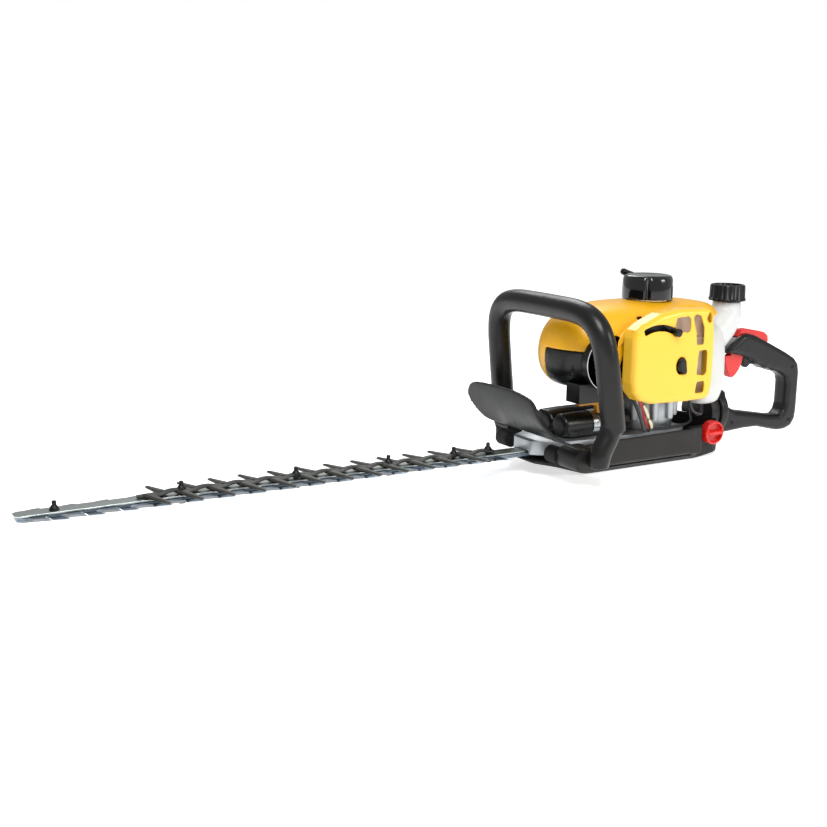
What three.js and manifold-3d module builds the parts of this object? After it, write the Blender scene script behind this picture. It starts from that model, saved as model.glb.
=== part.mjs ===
// Petrol hedge trimmer with a two-sided 600 mm class cutter bar.
// Frame, in millimetres: -X runs along the blades to their tip, +X to the rear handle, -Y is the
// machine's left side and +Z is up. The origin lies on the floor, straight below the crankshaft.
import * as THREE from 'three';
import { mergeVertices } from 'three/addons/utils/BufferGeometryUtils.js';
import Module from 'manifold-3d';

const wasm = await Module();
wasm.setup();

// ---- driving dimensions ---------------------------------------------------------------------
const gap = 0.3; // play between pieces that touch

const toothPitch = 35;
const toothCount = 16; // tooth pairs along each blade
const bladeTipX = -797;
const firstToothX = -781; // upper blade; the lower blade's teeth stand half a pitch further back
const bladeHalf = 23; // tooth tips, from the middle line
const bladeRoot = 12; // foot of the teeth, from the middle line
const bladeThick = 2;
const lowerBladeZ = 22.3; // underside of the lower blade
const upperBladeZ = lowerBladeZ + bladeThick + gap;
const barZ = upperBladeZ + bladeThick + gap; // underside of the guide bar
const barTop = barZ + 1.8;
const strokeHalf = 8.75; // each blade moves this far both ways

const guardZ = barTop + gap;
const guardTop = guardZ + 3.6;
const guardHalf = 35;
const fingerCount = 13;
const firstFingerX = -652.8;
const boltX = [-759, -627, -495, -378, -289, -240];

const camX = -50; // cam gear axis; the pinion turns about the crankshaft's line
const camTeeth = 36;
const pinionTeeth = 9;
const camRadius = 40.9; // over the tooth tips, which reach 1.6 mm in between the pinion's
const pinionRadius = 10.7;
const rodReach = 70; // from the eccentric to the blade pin

const caseFrontX = -190;
const caseRearX = 44;
const caseBottom = 6;
const caseSplit = 24.65;
const caseTop = 42;

const baseTop = 40;
const baseHalf = 58;
const baseRearX = 106;
const baseFlatX = -126; // the flat underside starts here, ahead of the centre of mass
const frontFloorZ = 18.8; // top of the base's floor under the blades

const crankZ = 148; // height of the cylinder axis
const crankThrow = 14;
const domeRadius = 32.5;
const domeFootZ = 205;
const domeTopZ = 237;

const handleLean = 0.145; // the front handle leans forward this much for each mm of height
const handleTube = 14.5;
const handleTopZ = 204;

const dampX = -176; // rubber dampers between the gear case and the handle blocks
const dampZ = 31;
const dampRadius = 10.5;

const swivelZ = 50; // the rear handle turns about this line along X
const swivelRadius = 33;
const shellHalf = 13.5; // half the rear handle's width
const tankCapX = 141;

// ---- finishes -------------------------------------------------------------------------------
function finish(color, roughness, metalness) {
  return new THREE.MeshStandardMaterial({ color, roughness, metalness });
}
const yellow = finish('#f5c01a', 0.35, 0);
const black = finish('#2e2d2a', 0.55, 0);
const gloss = finish('#1c1c1c', 0.2, 0);
const red = finish('#e2231a', 0.4, 0);
const white = finish('#efefed', 0.5, 0);
const steel = finish('#b9c0c6', 0.3, 1);
const castAluminium = finish('#b4b6b4', 0.55, 0.8);
const rubber = finish('#1e1e1e', 0.9, 0);
const foam = finish('#3a3a3c', 1, 0);

// ---- closed solids from three.js shapes ---------------------------------------------------
// Joins shared corners, turns an inside-out mesh the right way, and makes a solid to cut with.
function solid(geometry) {
  const bare = new THREE.BufferGeometry();
  bare.setAttribute('position', geometry.getAttribute('position'));
  if (geometry.index) bare.setIndex(geometry.index);
  const merged = mergeVertices(bare, 1e-4);
  const points = merged.getAttribute('position').array;
  const corners = [];
  for (let i = 0; i < merged.index.count; i += 3) {
    const [a, b, c] = [merged.index.getX(i), merged.index.getX(i + 1), merged.index.getX(i + 2)];
    if (a !== b && b !== c && c !== a) corners.push(a, b, c);
  }
  let volume = 0;
  for (let i = 0; i < corners.length; i += 3) {
    const [a, b, c] = corners.slice(i, i + 3).map((k) => new THREE.Vector3().fromArray(points, 3 * k));
    volume += a.dot(b.cross(c));
  }
  if (volume < 0) corners.reverse();
  return new wasm.Manifold(new wasm.Mesh({
    numProp: 3,
    vertProperties: new Float32Array(points),
    triVerts: new Uint32Array(corners),
  }));
}

// The corners of a polygon, each an [a, b] pair, with every side moved inwards by wall.
function inset(points, wall) {
  const corners = points.map(([a, b]) => new THREE.Vector2(a, b));
  const sign = THREE.ShapeUtils.isClockWise(corners) ? -1 : 1;
  return corners.map((corner, i) => {
    const before = corners[(i + corners.length - 1) % corners.length];
    const after = corners[(i + 1) % corners.length];
    const one = corner.clone().sub(before).normalize();
    const two = after.clone().sub(corner).normalize();
    const normalOne = new THREE.Vector2(-one.y, one.x).multiplyScalar(sign);
    const normalTwo = new THREE.Vector2(-two.y, two.x).multiplyScalar(sign);
    const middle = normalOne.add(normalTwo).normalize();
    const reach = wall / Math.max(0.5, middle.dot(normalTwo));
    return corner.clone().add(middle.multiplyScalar(reach)).toArray();
  });
}

// A polygon from corners, moved in by wall, with its corners rounded off by radius.
function rounded(points, radius, wall = 0) {
  const moved = wall ? inset(points, wall) : points;
  const corners = moved.map(([a, b]) => new THREE.Vector2(a, b));
  const bend = radius - wall;
  if (bend <= 0) return corners;
  const shape = new THREE.Shape();
  corners.forEach((corner, i) => {
    const before = corners[(i + corners.length - 1) % corners.length];
    const after = corners[(i + 1) % corners.length];
    const cut = Math.min(bend, corner.distanceTo(before) / 2.2, corner.distanceTo(after) / 2.2);
    const enter = corner.clone().add(before.clone().sub(corner).setLength(cut));
    const leave = corner.clone().add(after.clone().sub(corner).setLength(cut));
    if (i === 0) shape.moveTo(enter.x, enter.y);
    else shape.lineTo(enter.x, enter.y);
    shape.quadraticCurveTo(corner.x, corner.y, leave.x, leave.y);
  });
  return shape.getPoints(2);
}

const mirrored = (points) => points.concat(points.map(([a, b]) => [a, -b]).reverse());

function extruded(points, depth) {
  const shape = new THREE.Shape(points);
  return new THREE.ExtrudeGeometry(shape, { depth, bevelEnabled: false, steps: 1 });
}

// Outlines in plan (x, y), from the side (x, z) and from the front (y, z).
function planPrism(points, z0, z1) {
  return solid(extruded(points, z1 - z0).translate(0, 0, z0));
}
function sidePrism(points, y0, y1) {
  return solid(extruded(points, y1 - y0).rotateX(Math.PI / 2).translate(0, y1, 0));
}
const faceTurn = new THREE.Matrix4().makeBasis(
  new THREE.Vector3(0, 1, 0), new THREE.Vector3(0, 0, 1), new THREE.Vector3(1, 0, 0));
function facePrism(points, x0, x1) {
  return solid(extruded(points, x1 - x0).applyMatrix4(faceTurn).translate(x0, 0, 0));
}

function block(x0, x1, y0, y1, z0, z1) {
  const box = new THREE.BoxGeometry(x1 - x0, y1 - y0, z1 - z0);
  return solid(box.translate((x0 + x1) / 2, (y0 + y1) / 2, (z0 + z1) / 2));
}

// A turned piece: [radius, height] pairs from the axis to the axis, standing on (x, y) along axis.
function turned(profile, at, axis = 'z', sides = 20) {
  const points = profile.map(([r, h]) => new THREE.Vector2(r, h));
  const lathe = new THREE.LatheGeometry(points, sides);
  if (axis === 'z') lathe.rotateX(Math.PI / 2);
  if (axis === 'x') lathe.rotateZ(-Math.PI / 2);
  return solid(lathe.translate(...at));
}
function disc(radius, low, high, at, axis = 'z', sides = 20) {
  return turned([[0, low], [radius, low], [radius, high], [0, high]], at, axis, sides);
}
function ring(inner, outer, low, high, at, axis = 'z', sides = 20) {
  const profile = [[inner, low], [outer, low], [outer, high], [inner, high], [inner, low]];
  return turned(profile, at, axis, sides);
}

// A round bar bent along points, each an [x, y, z].
function bentBar(points, radius, sides, steps, tension = 0.5) {
  const corners = points.map((p) => new THREE.Vector3(...p));
  const path = new THREE.CatmullRomCurve3(corners, false, 'catmullrom', tension);
  const section = new THREE.Shape();
  section.absarc(0, 0, radius, 0, 2 * Math.PI);
  const settings = { steps, extrudePath: path, bevelEnabled: false, curveSegments: sides };
  return solid(new THREE.ExtrudeGeometry(section, settings));
}

// Three outlines that meet: the body that fills all of them.
function fromOutlines(plan, side, face) {
  const reach = 900;
  return planPrism(plan, -reach, reach)
    .intersect(sidePrism(side, -reach, reach))
    .intersect(facePrism(face, -reach, reach));
}

const trimmer = new THREE.Group();
function piece(name, body, material) {
  const { vertProperties, triVerts } = body.getMesh();
  const geometry = new THREE.BufferGeometry();
  geometry.setAttribute('position', new THREE.BufferAttribute(vertProperties, 3));
  geometry.setIndex(new THREE.BufferAttribute(triVerts, 1));
  const mesh = new THREE.Mesh(geometry, material);
  mesh.name = name;
  trimmer.add(mesh);
}

// ---- cutter bar -----------------------------------------------------------------------------
const slotHalf = 3.1;
function boltSlots(z0, z1) {
  return boltX.map((x) => planPrism(rounded([
    [x - strokeHalf - slotHalf, -slotHalf], [x + strokeHalf + slotHalf, -slotHalf],
    [x + strokeHalf + slotHalf, slotHalf], [x - strokeHalf - slotHalf, slotHalf],
  ], slotHalf), z0, z1));
}

// One blade: a strip with hooked teeth on both sides, its root running back into the gear case.
function blade(shift, z, half) {
  const edge = [[bladeTipX, 8], [bladeTipX + 4, bladeRoot]];
  for (let i = 0; i < toothCount; i += 1) {
    const x = firstToothX + shift + i * toothPitch;
    edge.push([x, bladeRoot], [x - 2, half], [x + 7, half], [x + 21, bladeRoot]);
  }
  const rootX = camX - rodReach + 6;
  edge.push([caseFrontX - 12, 11], [rootX, 11]);
  const strip = planPrism(rounded(mirrored(edge), 0), z, z + bladeThick);
  return boltSlots(z - 1, z + bladeThick + 1).reduce((body, slot) => body.subtract(slot), strip);
}
piece('lower_blade', blade(toothPitch / 2, lowerBladeZ, bladeHalf - 1), steel);
piece('upper_blade', blade(0, upperBladeZ, bladeHalf), steel);

const boltHoleRadius = 2.8;
const boltHoles = (z0, z1) => boltX.map((x) => disc(boltHoleRadius, z0, z1, [x, 0, 0], 'z', 8));
const barOutline = mirrored([[-799, 6], [-794, 10], [-142, 10]]);
const guideBar = planPrism(rounded(barOutline, 0), barZ, barTop);
piece('guide_bar', boltHoles(barZ - 1, barTop + 1).reduce((b, h) => b.subtract(h), guideBar), steel);

// Comb guard: a spine on the guide bar with a blunt finger over every tooth.
const spineHalf = 6.5;
const guardRearX = -212;
const comb = [[firstFingerX - 22, 2.5], [firstFingerX - 8, spineHalf]];
for (let i = 0; i < fingerCount; i += 1) {
  const x = firstFingerX + i * toothPitch;
  comb.push([x + 1, spineHalf], [x - 2, guardHalf - 3], [x, guardHalf], [x + 2.5, guardHalf - 3]);
  comb.push([x + 10, spineHalf]);
}
comb.push([guardRearX, spineHalf]);
const combPlate = planPrism(rounded(mirrored(comb), 0), guardZ, guardTop);
const guardHoles = boltHoles(guardZ - 1, guardTop + 1);
piece('comb_guard', guardHoles.reduce((b, h) => b.subtract(h), combPlate), black);

// Blade bolts: the head is under the lower blade, the nut on the bar or on the guard.
boltX.forEach((x, i) => {
  const nutZ = (x < firstFingerX ? barTop : guardTop) + gap;
  const bolt = turned([
    [0, lowerBladeZ - 4], [5.2, lowerBladeZ - 4], [5.2, lowerBladeZ - gap], [2.4, lowerBladeZ - gap],
    [2.4, nutZ], [5, nutZ], [5, nutZ + 2.6], [3.4, nutZ + 5.6], [2.2, nutZ + 6], [2.2, nutZ + 9],
    [0, nutZ + 9],
  ], [x, 0, 0], 'z', 8);
  piece(`blade_bolt_${i + 1}`, bolt, black);
});

// ---- gear case and blade drive ----------------------------------------------------------------
const casePlan = mirrored([
  [caseFrontX, 18], [caseFrontX + 8, 25], [-160, 36], [-150, 40.4], [-100, 45], [caseRearX - 10, 45],
  [caseRearX, 30],
]);
const caseRound = 6;
const noseRearX = -148; // ahead of this the cover is a solid nose over the blades
const caseHollow = rounded(casePlan, caseRound, 3.5);
const noseSlot = (z0, z1) => block(caseFrontX - 5, noseRearX + 9, -14, 14, z0, z1);
const noseBlock = block(caseFrontX - 5, noseRearX, -60, 60, 0, 60);
const lowerCase = planPrism(rounded(casePlan, caseRound), caseBottom, caseSplit - gap / 2)
  .subtract(noseBlock)
  .subtract(planPrism(caseHollow, caseBottom + 3, caseSplit + 5)
    .subtract(block(caseFrontX, noseRearX + 4, -60, 60, 0, 60)))
  .subtract(noseSlot(lowerBladeZ - gap, caseSplit + 5));
piece('gear_case_lower', lowerCase, castAluminium);

const shaftHole = disc(6.4, 0, 100, [0, 0, 0], 'z', 16);
const upperCase = planPrism(rounded(casePlan, caseRound), caseSplit + gap / 2, caseTop)
  .subtract(planPrism(caseHollow, caseSplit - 5, caseTop - 3)
    .subtract(block(caseFrontX, noseRearX + 4, -60, 60, 0, 60)))
  .subtract(noseSlot(caseSplit - 5, barTop + gap))
  .subtract(shaftHole);
piece('gear_case_cover', upperCase, castAluminium);

const gearZ = 32;
const gearTop = 37.5;
// A spur gear with its first tooth on the +X side; foot and tip are half widths in tooth pitches.
function toothed(radius, depth, count, foot, tip, z0, z1, x) {
  const step = (2 * Math.PI) / count;
  const corners = [[radius - depth, -foot], [radius, -tip], [radius, tip], [radius - depth, foot]];
  const rim = [];
  for (let i = 0; i < count; i += 1) {
    corners.forEach(([r, part]) => {
      const turn = (i + part) * step;
      rim.push([x + r * Math.cos(turn), r * Math.sin(turn)]);
    });
  }
  return planPrism(rounded(rim, 0), z0, z1);
}
const upperRodZ = barZ + 0.6;
const lowerRodTop = lowerBladeZ - gap;
const rodThick = 3.2;
const eccentricRadius = 15;
const eccentric = (side, z0, z1) => disc(eccentricRadius, z0, z1, [camX + side * strokeHalf, 0, 0]);
const camGear = toothed(camRadius, 2.2, camTeeth, 0.26, 0.14, gearZ, gearTop, camX)
  .add(eccentric(-1, upperRodZ - 0.1, gearZ + 0.1))
  .add(disc(6, 10.2, upperRodZ + 0.1, [camX, 0, 0], 'z', 16))
  .add(eccentric(1, lowerRodTop - rodThick - 0.1, lowerRodTop + 0.1));
piece('cam_gear', camGear, steel);

// A con-rod: a ring on its eccentric, an arm and an eye with the pin for the blade root.
function conRod(side, z0) {
  const centre = camX + side * strokeHalf;
  const eyeX = centre - rodReach;
  const z1 = z0 + rodThick;
  return disc(eccentricRadius + 5, z0, z1, [centre, 0, 0])
    .add(block(eyeX, centre, -5, 5, z0, z1))
    .add(disc(8, z0, z1, [eyeX, 0, 0], 'z', 16))
    .subtract(disc(eccentricRadius + 0.4, z0 - 1, z1 + 1, [centre, 0, 0]));
}
piece('upper_con_rod', conRod(-1, upperRodZ), steel);
piece('lower_con_rod', conRod(1, lowerRodTop - rodThick), steel);

const drumZ = 52;
const drumShaft = toothed(pinionRadius, 2, pinionTeeth, 0.26, 0.1, gearZ - 0.5, gearTop + 0.5, 0)
  .add(disc(5.9, gearTop, drumZ, [0, 0, 0], 'z', 16))
  .add(turned([
    [0, drumZ - 1], [28, drumZ - 1], [28, drumZ + 20], [26, drumZ + 20], [26, drumZ + 2],
    [0, drumZ + 2],
  ], [0, 0, 0]));
piece('clutch_drum', drumShaft, steel);

// ---- base -------------------------------------------------------------------------------------
const floorZ = caseBottom - gap;
const basePlan = rounded(mirrored([
  [-192, 28], [-150, 46], [-112, baseHalf], [46, baseHalf], [53, 48], [92, 48], [baseRearX, 30],
]), 8);
const baseSide = rounded([
  [-192, 16], [-165, 11], [baseFlatX, 0], [60, 0], [94, 5],
  [baseRearX, 16], [baseRearX, baseTop + 4],
  [-115, baseTop], [-150, 34], [-192, 19],
], 5);
const baseFront = [
  [-baseHalf, 60], [-baseHalf, 12], [-48, 0], [48, 0], [baseHalf, 12], [baseHalf, 60],
].map(([y, z]) => new THREE.Vector2(y, z));
const trayPlan = rounded(mirrored([
  [noseRearX - 1, 43], [-108, baseHalf - 4], [44, baseHalf - 4], [51, 44],
  [90, 44], [baseRearX - 5, 27],
]), 6);
const base = planPrism(basePlan, -10, 60)
  .intersect(sidePrism(baseSide, -100, 100))
  .intersect(facePrism(baseFront, -300, 300))
  .subtract(planPrism(trayPlan, floorZ, 60))
  .subtract(block(-260, noseRearX + 2, -80, 80, frontFloorZ, 60))
  .subtract(block(dampX - 20, -110, -14, 14, frontFloorZ, 60));
piece('base_frame', base, black);

// ---- engine -----------------------------------------------------------------------------------
const housingTop = 90;
const clutchHousing = turned([
  [0, caseTop + gap], [40, caseTop + gap], [40, 76], [34, housingTop], [0, housingTop],
], [0, 0, 0]).subtract(disc(30.5, caseTop + 6, housingTop - 4, [0, 0, 0]))
  .subtract(disc(8, 0, 200, [0, 0, 0], 'z', 16));
piece('clutch_housing', clutchHousing, castAluminium);

const crankcaseTop = 173;
const chamberRadius = 26;
const crankcase = planPrism(rounded([[-38, -34], [36, -34], [36, 34], [-38, 34]], 12), housingTop + gap,
  crankcaseTop)
  .subtract(disc(chamberRadius, crankZ - 20, crankZ + 20, [0, 0, 0]))
  .subtract(disc(6.6, 0, 300, [0, 0, 0], 'z', 16))
  .subtract(disc(19, -60, 0, [0, 0, crankZ], 'x'));
piece('crankcase', crankcase, castAluminium);

const webRadius = 22;
const rodWidth = 5;
const clutchBoss = turned([
  [0, 57], [20, 57], [24, 60], [24, 70], [6, 74], [6, crankZ - 15], [webRadius, crankZ - 15],
  [webRadius, crankZ - 6], [0, crankZ - 6],
], [0, 0, 0]);
const crankPin = disc(5, crankZ - 7, crankZ - rodWidth - gap, [0, crankThrow, 0], 'z', 12);
piece('lower_crank_half', clutchBoss.add(crankPin), steel);
piece('upper_crank_half', turned([
  [0, crankZ + 6], [webRadius, crankZ + 6], [webRadius, crankZ + 15], [6, crankZ + 15], [6, 198],
  [0, 198],
], [0, 0, 0]), steel);

const cylinderProfile = [[0, 130], [16, 130], [16, 126], [25, 126]];
for (let x = 118; x > 60; x -= 14) cylinderProfile.push([31, x + 4], [31, x], [25, x], [25, x - 6]);
cylinderProfile.push([22, 50], [22, 38 + gap], [0, 38 + gap]);
const boreRadius = 17.2;
const cylinder = turned(cylinderProfile.map(([r, x]) => [r, -x]), [0, 0, crankZ], 'x', 16)
  .subtract(disc(boreRadius, -118, -30, [0, 0, crankZ], 'x'))
  .subtract(disc(5.3, -140, -100, [0, 0, crankZ], 'x', 12))
  .subtract(disc(8.5, 0, 40, [-84, 0, crankZ], 'y', 16))
  .subtract(disc(6.5, -40, 0, [-60, 0, crankZ], 'y', 16));
piece('cylinder', cylinder, castAluminium);

const pistonX = -84;
const piston = disc(boreRadius - 0.3, -13, 13, [pistonX, 0, crankZ], 'x')
  .subtract(disc(13, -9, 20, [pistonX, 0, crankZ], 'x'));
piece('piston', piston, castAluminium);
const smallEndX = pistonX + 4;
const rodBack = block(smallEndX, 0, -5, 5, crankZ - rodWidth + gap, crankZ + rodWidth - gap)
  .add(disc(9, -rodWidth + gap, rodWidth - gap, [0, 0, crankZ], 'z', 16))
  .add(disc(7, -rodWidth + gap, rodWidth - gap, [smallEndX, 0, crankZ], 'z', 16));
piece('connecting_rod', rodBack, steel);

piece('spark_plug', turned([
  [0, -147], [3, -147], [3, -140], [7, -140], [7, -130.4], [4.9, -130.4], [4.9, -121], [0, -121],
], [0, 0, crankZ], 'x', 12), white);
piece('plug_boot', turned([
  [0, -149], [8, -149], [9, -146], [8.5, -140.5], [3.4, -140.5], [3.4, -147.5], [0, -147.5],
], [0, 0, crankZ], 'x', 12), rubber);

piece('flywheel', turned([
  [6.4, 180], [44, 176], [44, 179], [46, 179], [46, 190], [30, 190], [20, 186], [6.4, 186], [6.4, 180],
], [0, 0, 0]), castAluminium);
piece('ignition_coil', block(48, 66, -14, 14, 176, 192), black);

const muffler = fromOutlines(
  rounded([[-76, 33], [-40, 33], [-30, 66], [-76, 66]], 6),
  rounded([[-76, 112], [-34, 112], [-34, 176], [-76, 176]], 8),
  rounded([[33, 112], [66, 112], [66, 176], [33, 176]], 6),
);
const mufflerCut = disc(9, 60, 70, [-54, 0, 128], 'y', 12);
piece('muffler', muffler.subtract(mufflerCut), finish('#8f8a83', 0.5, 1));
const guardShell = block(-82, -26, 68, 76, 104, 184).add(block(-82, -78, 34, 70, 104, 184));
const louvres = [-74, -58, -42].map((x) => block(x, x + 9, 60, 80, 118, 170));
piece('muffler_guard', louvres.reduce((b, cut) => b.subtract(cut), guardShell), black);

piece('carburettor', block(-30, 8, -66, -44, 118, 156)
  .subtract(disc(7, -80, -40, [-11, 0, 136], 'y', 16)), castAluminium);
piece('intake_block', block(-26, 4, -43.6, -34.4, 122, 152)
  .subtract(disc(7, -60, -20, [-11, 0, 136], 'y', 16)), black);
piece('air_filter', block(-40, 24, -80, -68, 112, 166)
  .subtract(disc(7, -75, -60, [-11, 0, 136], 'y', 16)), foam);

// Side cover over the carburettor: a deep open-backed shell with vents and a choke slot.
const coverSide = [
  [-93, 114], [-84, 95], [-60, 87], [30, 87], [37, 98], [37, 170], [32, 201], [-20, 204], [-52, 200],
  [-80, 186], [-93, 176],
];
const coverRound = 9;
const coverFace = -90;
const coverBack = -66.6;
const sideCover = sidePrism(rounded(coverSide, coverRound), coverFace, coverBack)
  .subtract(sidePrism(rounded(coverSide, coverRound, 3), coverFace + 3, coverBack + 5));
const ventAt = (x0, x1, z0, z1) => block(x0, x1, coverFace - 5, coverFace + 10, z0, z1);
const chokePivot = [-56, 129];
const chokeReach = 53;
const chokeTurn = 62; // degrees above the rear-facing line, with the lever open
const chokePoint = (degrees, reach) => {
  const turn = THREE.MathUtils.degToRad(degrees);
  return [chokePivot[0] + reach * Math.cos(turn), chokePivot[1] + reach * Math.sin(turn)];
};
const slotTurns = [57, 68, 79, 90, 101, 112];
const slotEdge = (reach) => slotTurns.map((degrees) => chokePoint(degrees, reach));
const chokeSlot = sidePrism(rounded([
  ...slotEdge(chokeReach - 4.1), ...slotEdge(chokeReach + 4.1).reverse(),
], 3), coverFace - 5, coverFace + 10);
const coverCuts = [
  ventAt(-32, -6, 175, 194), ventAt(-2, 17, 158, 196), ventAt(8, 24, 119, 151), ventAt(7, 22, 97, 112),
  disc(8, coverFace - 5, coverFace + 10, [-18, 0, 133], 'y', 16), chokeSlot,
];
piece('air_cleaner_cover', coverCuts.reduce((b, cut) => b.subtract(cut), sideCover), yellow);
const chokeKnob = chokePoint(chokeTurn, chokeReach);
const chokeLever = disc(5, -97, -90.6, [chokeKnob[0], 0, chokeKnob[1]], 'y', 12)
  .add(disc(3, -91, -84, [chokeKnob[0], 0, chokeKnob[1]], 'y', 12))
  .add(sidePrism(rounded([
    chokePoint(chokeTurn + 75, 4), chokePoint(chokeTurn - 75, 4), chokePoint(chokeTurn - 3, 56),
    chokePoint(chokeTurn + 3, 56),
  ], 0), -86, -84))
  .add(disc(6, -86, -81, [chokePivot[0], 0, chokePivot[1]], 'y', 12));
piece('choke_lever', chokeLever, black);
piece('cover_knob', disc(7, -94, -88, [-18, 0, 133], 'y', 16)
  .add(disc(2.5, -89, -80.4, [-18, 0, 133], 'y', 10)), black);

// Top shroud: fan cover and cylinder cover in one moulding, open below.
const shroudPlan = [
  [-158, -20], [-146, -38], [-110, -50], [-90, -58], [-60, -66], [60, -62], [92, -40], [100, 0],
  [92, 40], [60, 62], [-60, 66], [-110, 50], [-146, 38], [-158, 20],
];
const shroudSide = rounded([
  [-158, 140], [-146, 116], [-128, 106], [-92, 106], [-84, 158], [-40, 176], [104, 190], [96, 200],
  [60, 205], [-60, 206], [-100, 201], [-132, 190], [-152, 170],
], 12);
const shroudFrontView = rounded([
  [-66, 100], [-66, 186], [-56, 200], [-30, 206], [30, 206], [56, 202], [66, 188], [66, 100],
], 8);
const shroudWall = 3;
const shroudOuter = fromOutlines(rounded(shroudPlan, 12), shroudSide, shroudFrontView);
const shroudHollow = fromOutlines(rounded(shroudPlan, 12, shroudWall), rounded([
  [-154, 140], [-143, 119], [-127, 109], [-80, 109], [-80, 130], [120, 130], [94, 197], [60, 201.5],
  [-60, 202.5], [-98, 197.5], [-129, 187], [-148, 168],
], 10), rounded([
  [-63, 90], [-63, 185], [-54, 197], [-29, 202], [29, 202], [54, 199], [63, 186], [63, 90],
], 8));
// The left lower quarter of the nose is a separate black moulding.
const noseQuarter = (play) => block(-170, -92 + play, -80, 6 + play, 90, 150 + play);
const shell = shroudOuter.subtract(shroudHollow);
const shroud = shell.subtract(noseQuarter(gap))
  .subtract(disc(25, 190, 230, [0, 0, 0]))
  .subtract(block(-85, -24, 32, 90, 100, 186));
piece('engine_shroud', shroud, yellow);

const noseCover = shell.intersect(noseQuarter(0))
  .add(block(-140, -94, -46, -20, 88, 112).subtract(block(-136, -98, -42, -24, 80, 108)))
  .subtract(disc(16, -70, -38, [-104, 0, 124], 'y', 16));
piece('cylinder_cover_lower', noseCover, black);

// Black cowl over the gear case, under the cylinder.
const cowl = fromOutlines(
  rounded([[-146, -24], [-138, -32], [-44, -32], [-44, 32], [-138, 32], [-146, 24]], 5),
  rounded([[-146, caseTop + gap], [-44, caseTop + gap], [-44, 72], [-120, 68], [-146, 58]], 6),
  rounded([[-32, 40], [32, 40], [32, 58], [20, 71], [-20, 71], [-32, 58]], 8),
).subtract(block(-140, -43.9, -27, 27, 40, 62));
piece('case_cowl', cowl, black);

// ---- recoil starter -----------------------------------------------------------------------------
const gripAt = [8, 40, 231];
const dome = turned([
  [0, domeFootZ + 2], [domeRadius, domeFootZ + 2], [domeRadius, 212], [30.5, 233], [27.5, domeTopZ],
  [0, domeTopZ],
], [0, 0, 0]).subtract(disc(27, 200, 232, [0, 0, 0]))
  .subtract(disc(2.6, 0, 60, [gripAt[0], 0, gripAt[2] - 3], 'y', 10));
piece('starter_dome', dome, gloss);
piece('starter_pulley', turned([
  [0, 210], [22, 210], [24, 213], [18, 217], [18, 221], [24, 225], [22, 228], [0, 228],
], [0, 0, 0]), black);
piece('starter_grip', bentBar([
  [gripAt[0] - 18, gripAt[1], gripAt[2] + 7], gripAt, [gripAt[0] + 18, gripAt[1], gripAt[2] - 7],
], 4.4, 4, 2).add(disc(3, -6.5, 2, gripAt, 'y', 10)), black);

// ---- fuel tank ------------------------------------------------------------------------------
const neckRadius = 19;
const tankPlan = [
  [44, -58], [54, -62], [92, -54], [118, -34], [150, -19], [160, -9], [160, 9], [150, 19], [118, 34],
  [96, 50], [54, 54], [44, 50],
];
const tankSide = [
  [44, 78], [86, 70], [94, 76], [96, 86], [104, 94], [106, 108], [112, 124], [138, 145], [160, 166],
  [160, 190], [121, 190], [104, 174], [44, 168],
];
const tankFront = [[-62, 66], [54, 66], [54, 160], [22, 192], [-22, 192], [-62, 160]];
const tankWall = 2.5;
const tankHollow = [tankPlan, tankSide, tankFront].map((view) => rounded(view, 8, tankWall));
const tank = fromOutlines(...[tankPlan, tankSide, tankFront].map((view) => rounded(view, 8)))
  .add(disc(neckRadius, 180, 197, [tankCapX, 0, 0]))
  .subtract(fromOutlines(...tankHollow))
  .subtract(disc(neckRadius - 3, 170, 200, [tankCapX, 0, 0]));
piece('fuel_tank', tank, white);
piece('fuel_cap', turned([
  [0, 199.5], [neckRadius + 0.6, 199.5], [neckRadius + 0.6, 198], [24.5, 198], [24.5, 201], [23, 203],
  [23, 217], [20, 219], [0, 219],
], [tankCapX, 0, 0]), black);
piece('fuel_hose', bentBar([
  [43.6, -40, 100], [36, -41, 100], [20, -52, 102], [4, -58, 103], [-7, -60, 110], [-8, -60, 117],
], 2.4, 4, 14), white);

// ---- front handle, blocks and dampers ---------------------------------------------------------
const handleX = (z) => -145 - handleLean * (z - 100);
const legPath = [[44, 113], [80, 112.5], [130, 110.5], [160, 108.5], [183, 102], [198, 86],
  [handleTopZ, 62], [handleTopZ + 1, 25]];
const loop = legPath.map(([z, y]) => [handleX(z), -y, z])
  .concat(legPath.map(([z, y]) => [handleX(z), y, z]).reverse());
const handleBar = bentBar(loop, handleTube, 5, 44);
const footOutline = [
  [-172, 32], [-166, 27], [-142, 26], [-134, 36], [-124, 58], [-130, 68], [-152, 68], [-170, 60],
];
const foot = (side) => sidePrism(rounded(footOutline, 5), side < 0 ? -124 : 99, side < 0 ? -99 : 124);
piece('front_handle', handleBar.add(foot(-1)).add(foot(1)), black);

const dampLength = [41, 61.5];
const blockOutline = rounded([
  [-184, 26], [-178, 20], [-150, 20], [-144, 26], [-144, 40], [-150, 45], [-177, 45], [-184, 39],
], 3);
[['left', -1], ['right', 1]].forEach(([word, side]) => {
  const span = (a, b) => (side < 0 ? [-b, -a] : [a, b]);
  piece(`handle_block_${word}`, sidePrism(blockOutline, ...span(61.9, 98.6)), black);
  const [low, high] = span(...dampLength);
  const ribs = [[0, low]];
  const ribCount = 4;
  const pitch = (high - low) / ribCount;
  for (let i = 0; i < ribCount; i += 1) {
    const y = low + i * pitch;
    ribs.push([dampRadius, y], [dampRadius, y + pitch * 0.6], [8, y + pitch * 0.6], [8, y + pitch]);
  }
  ribs.push([0, high]);
  piece(`damper_${word}`, turned(ribs, [dampX, 0, dampZ], 'y', 12), rubber);
});

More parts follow.
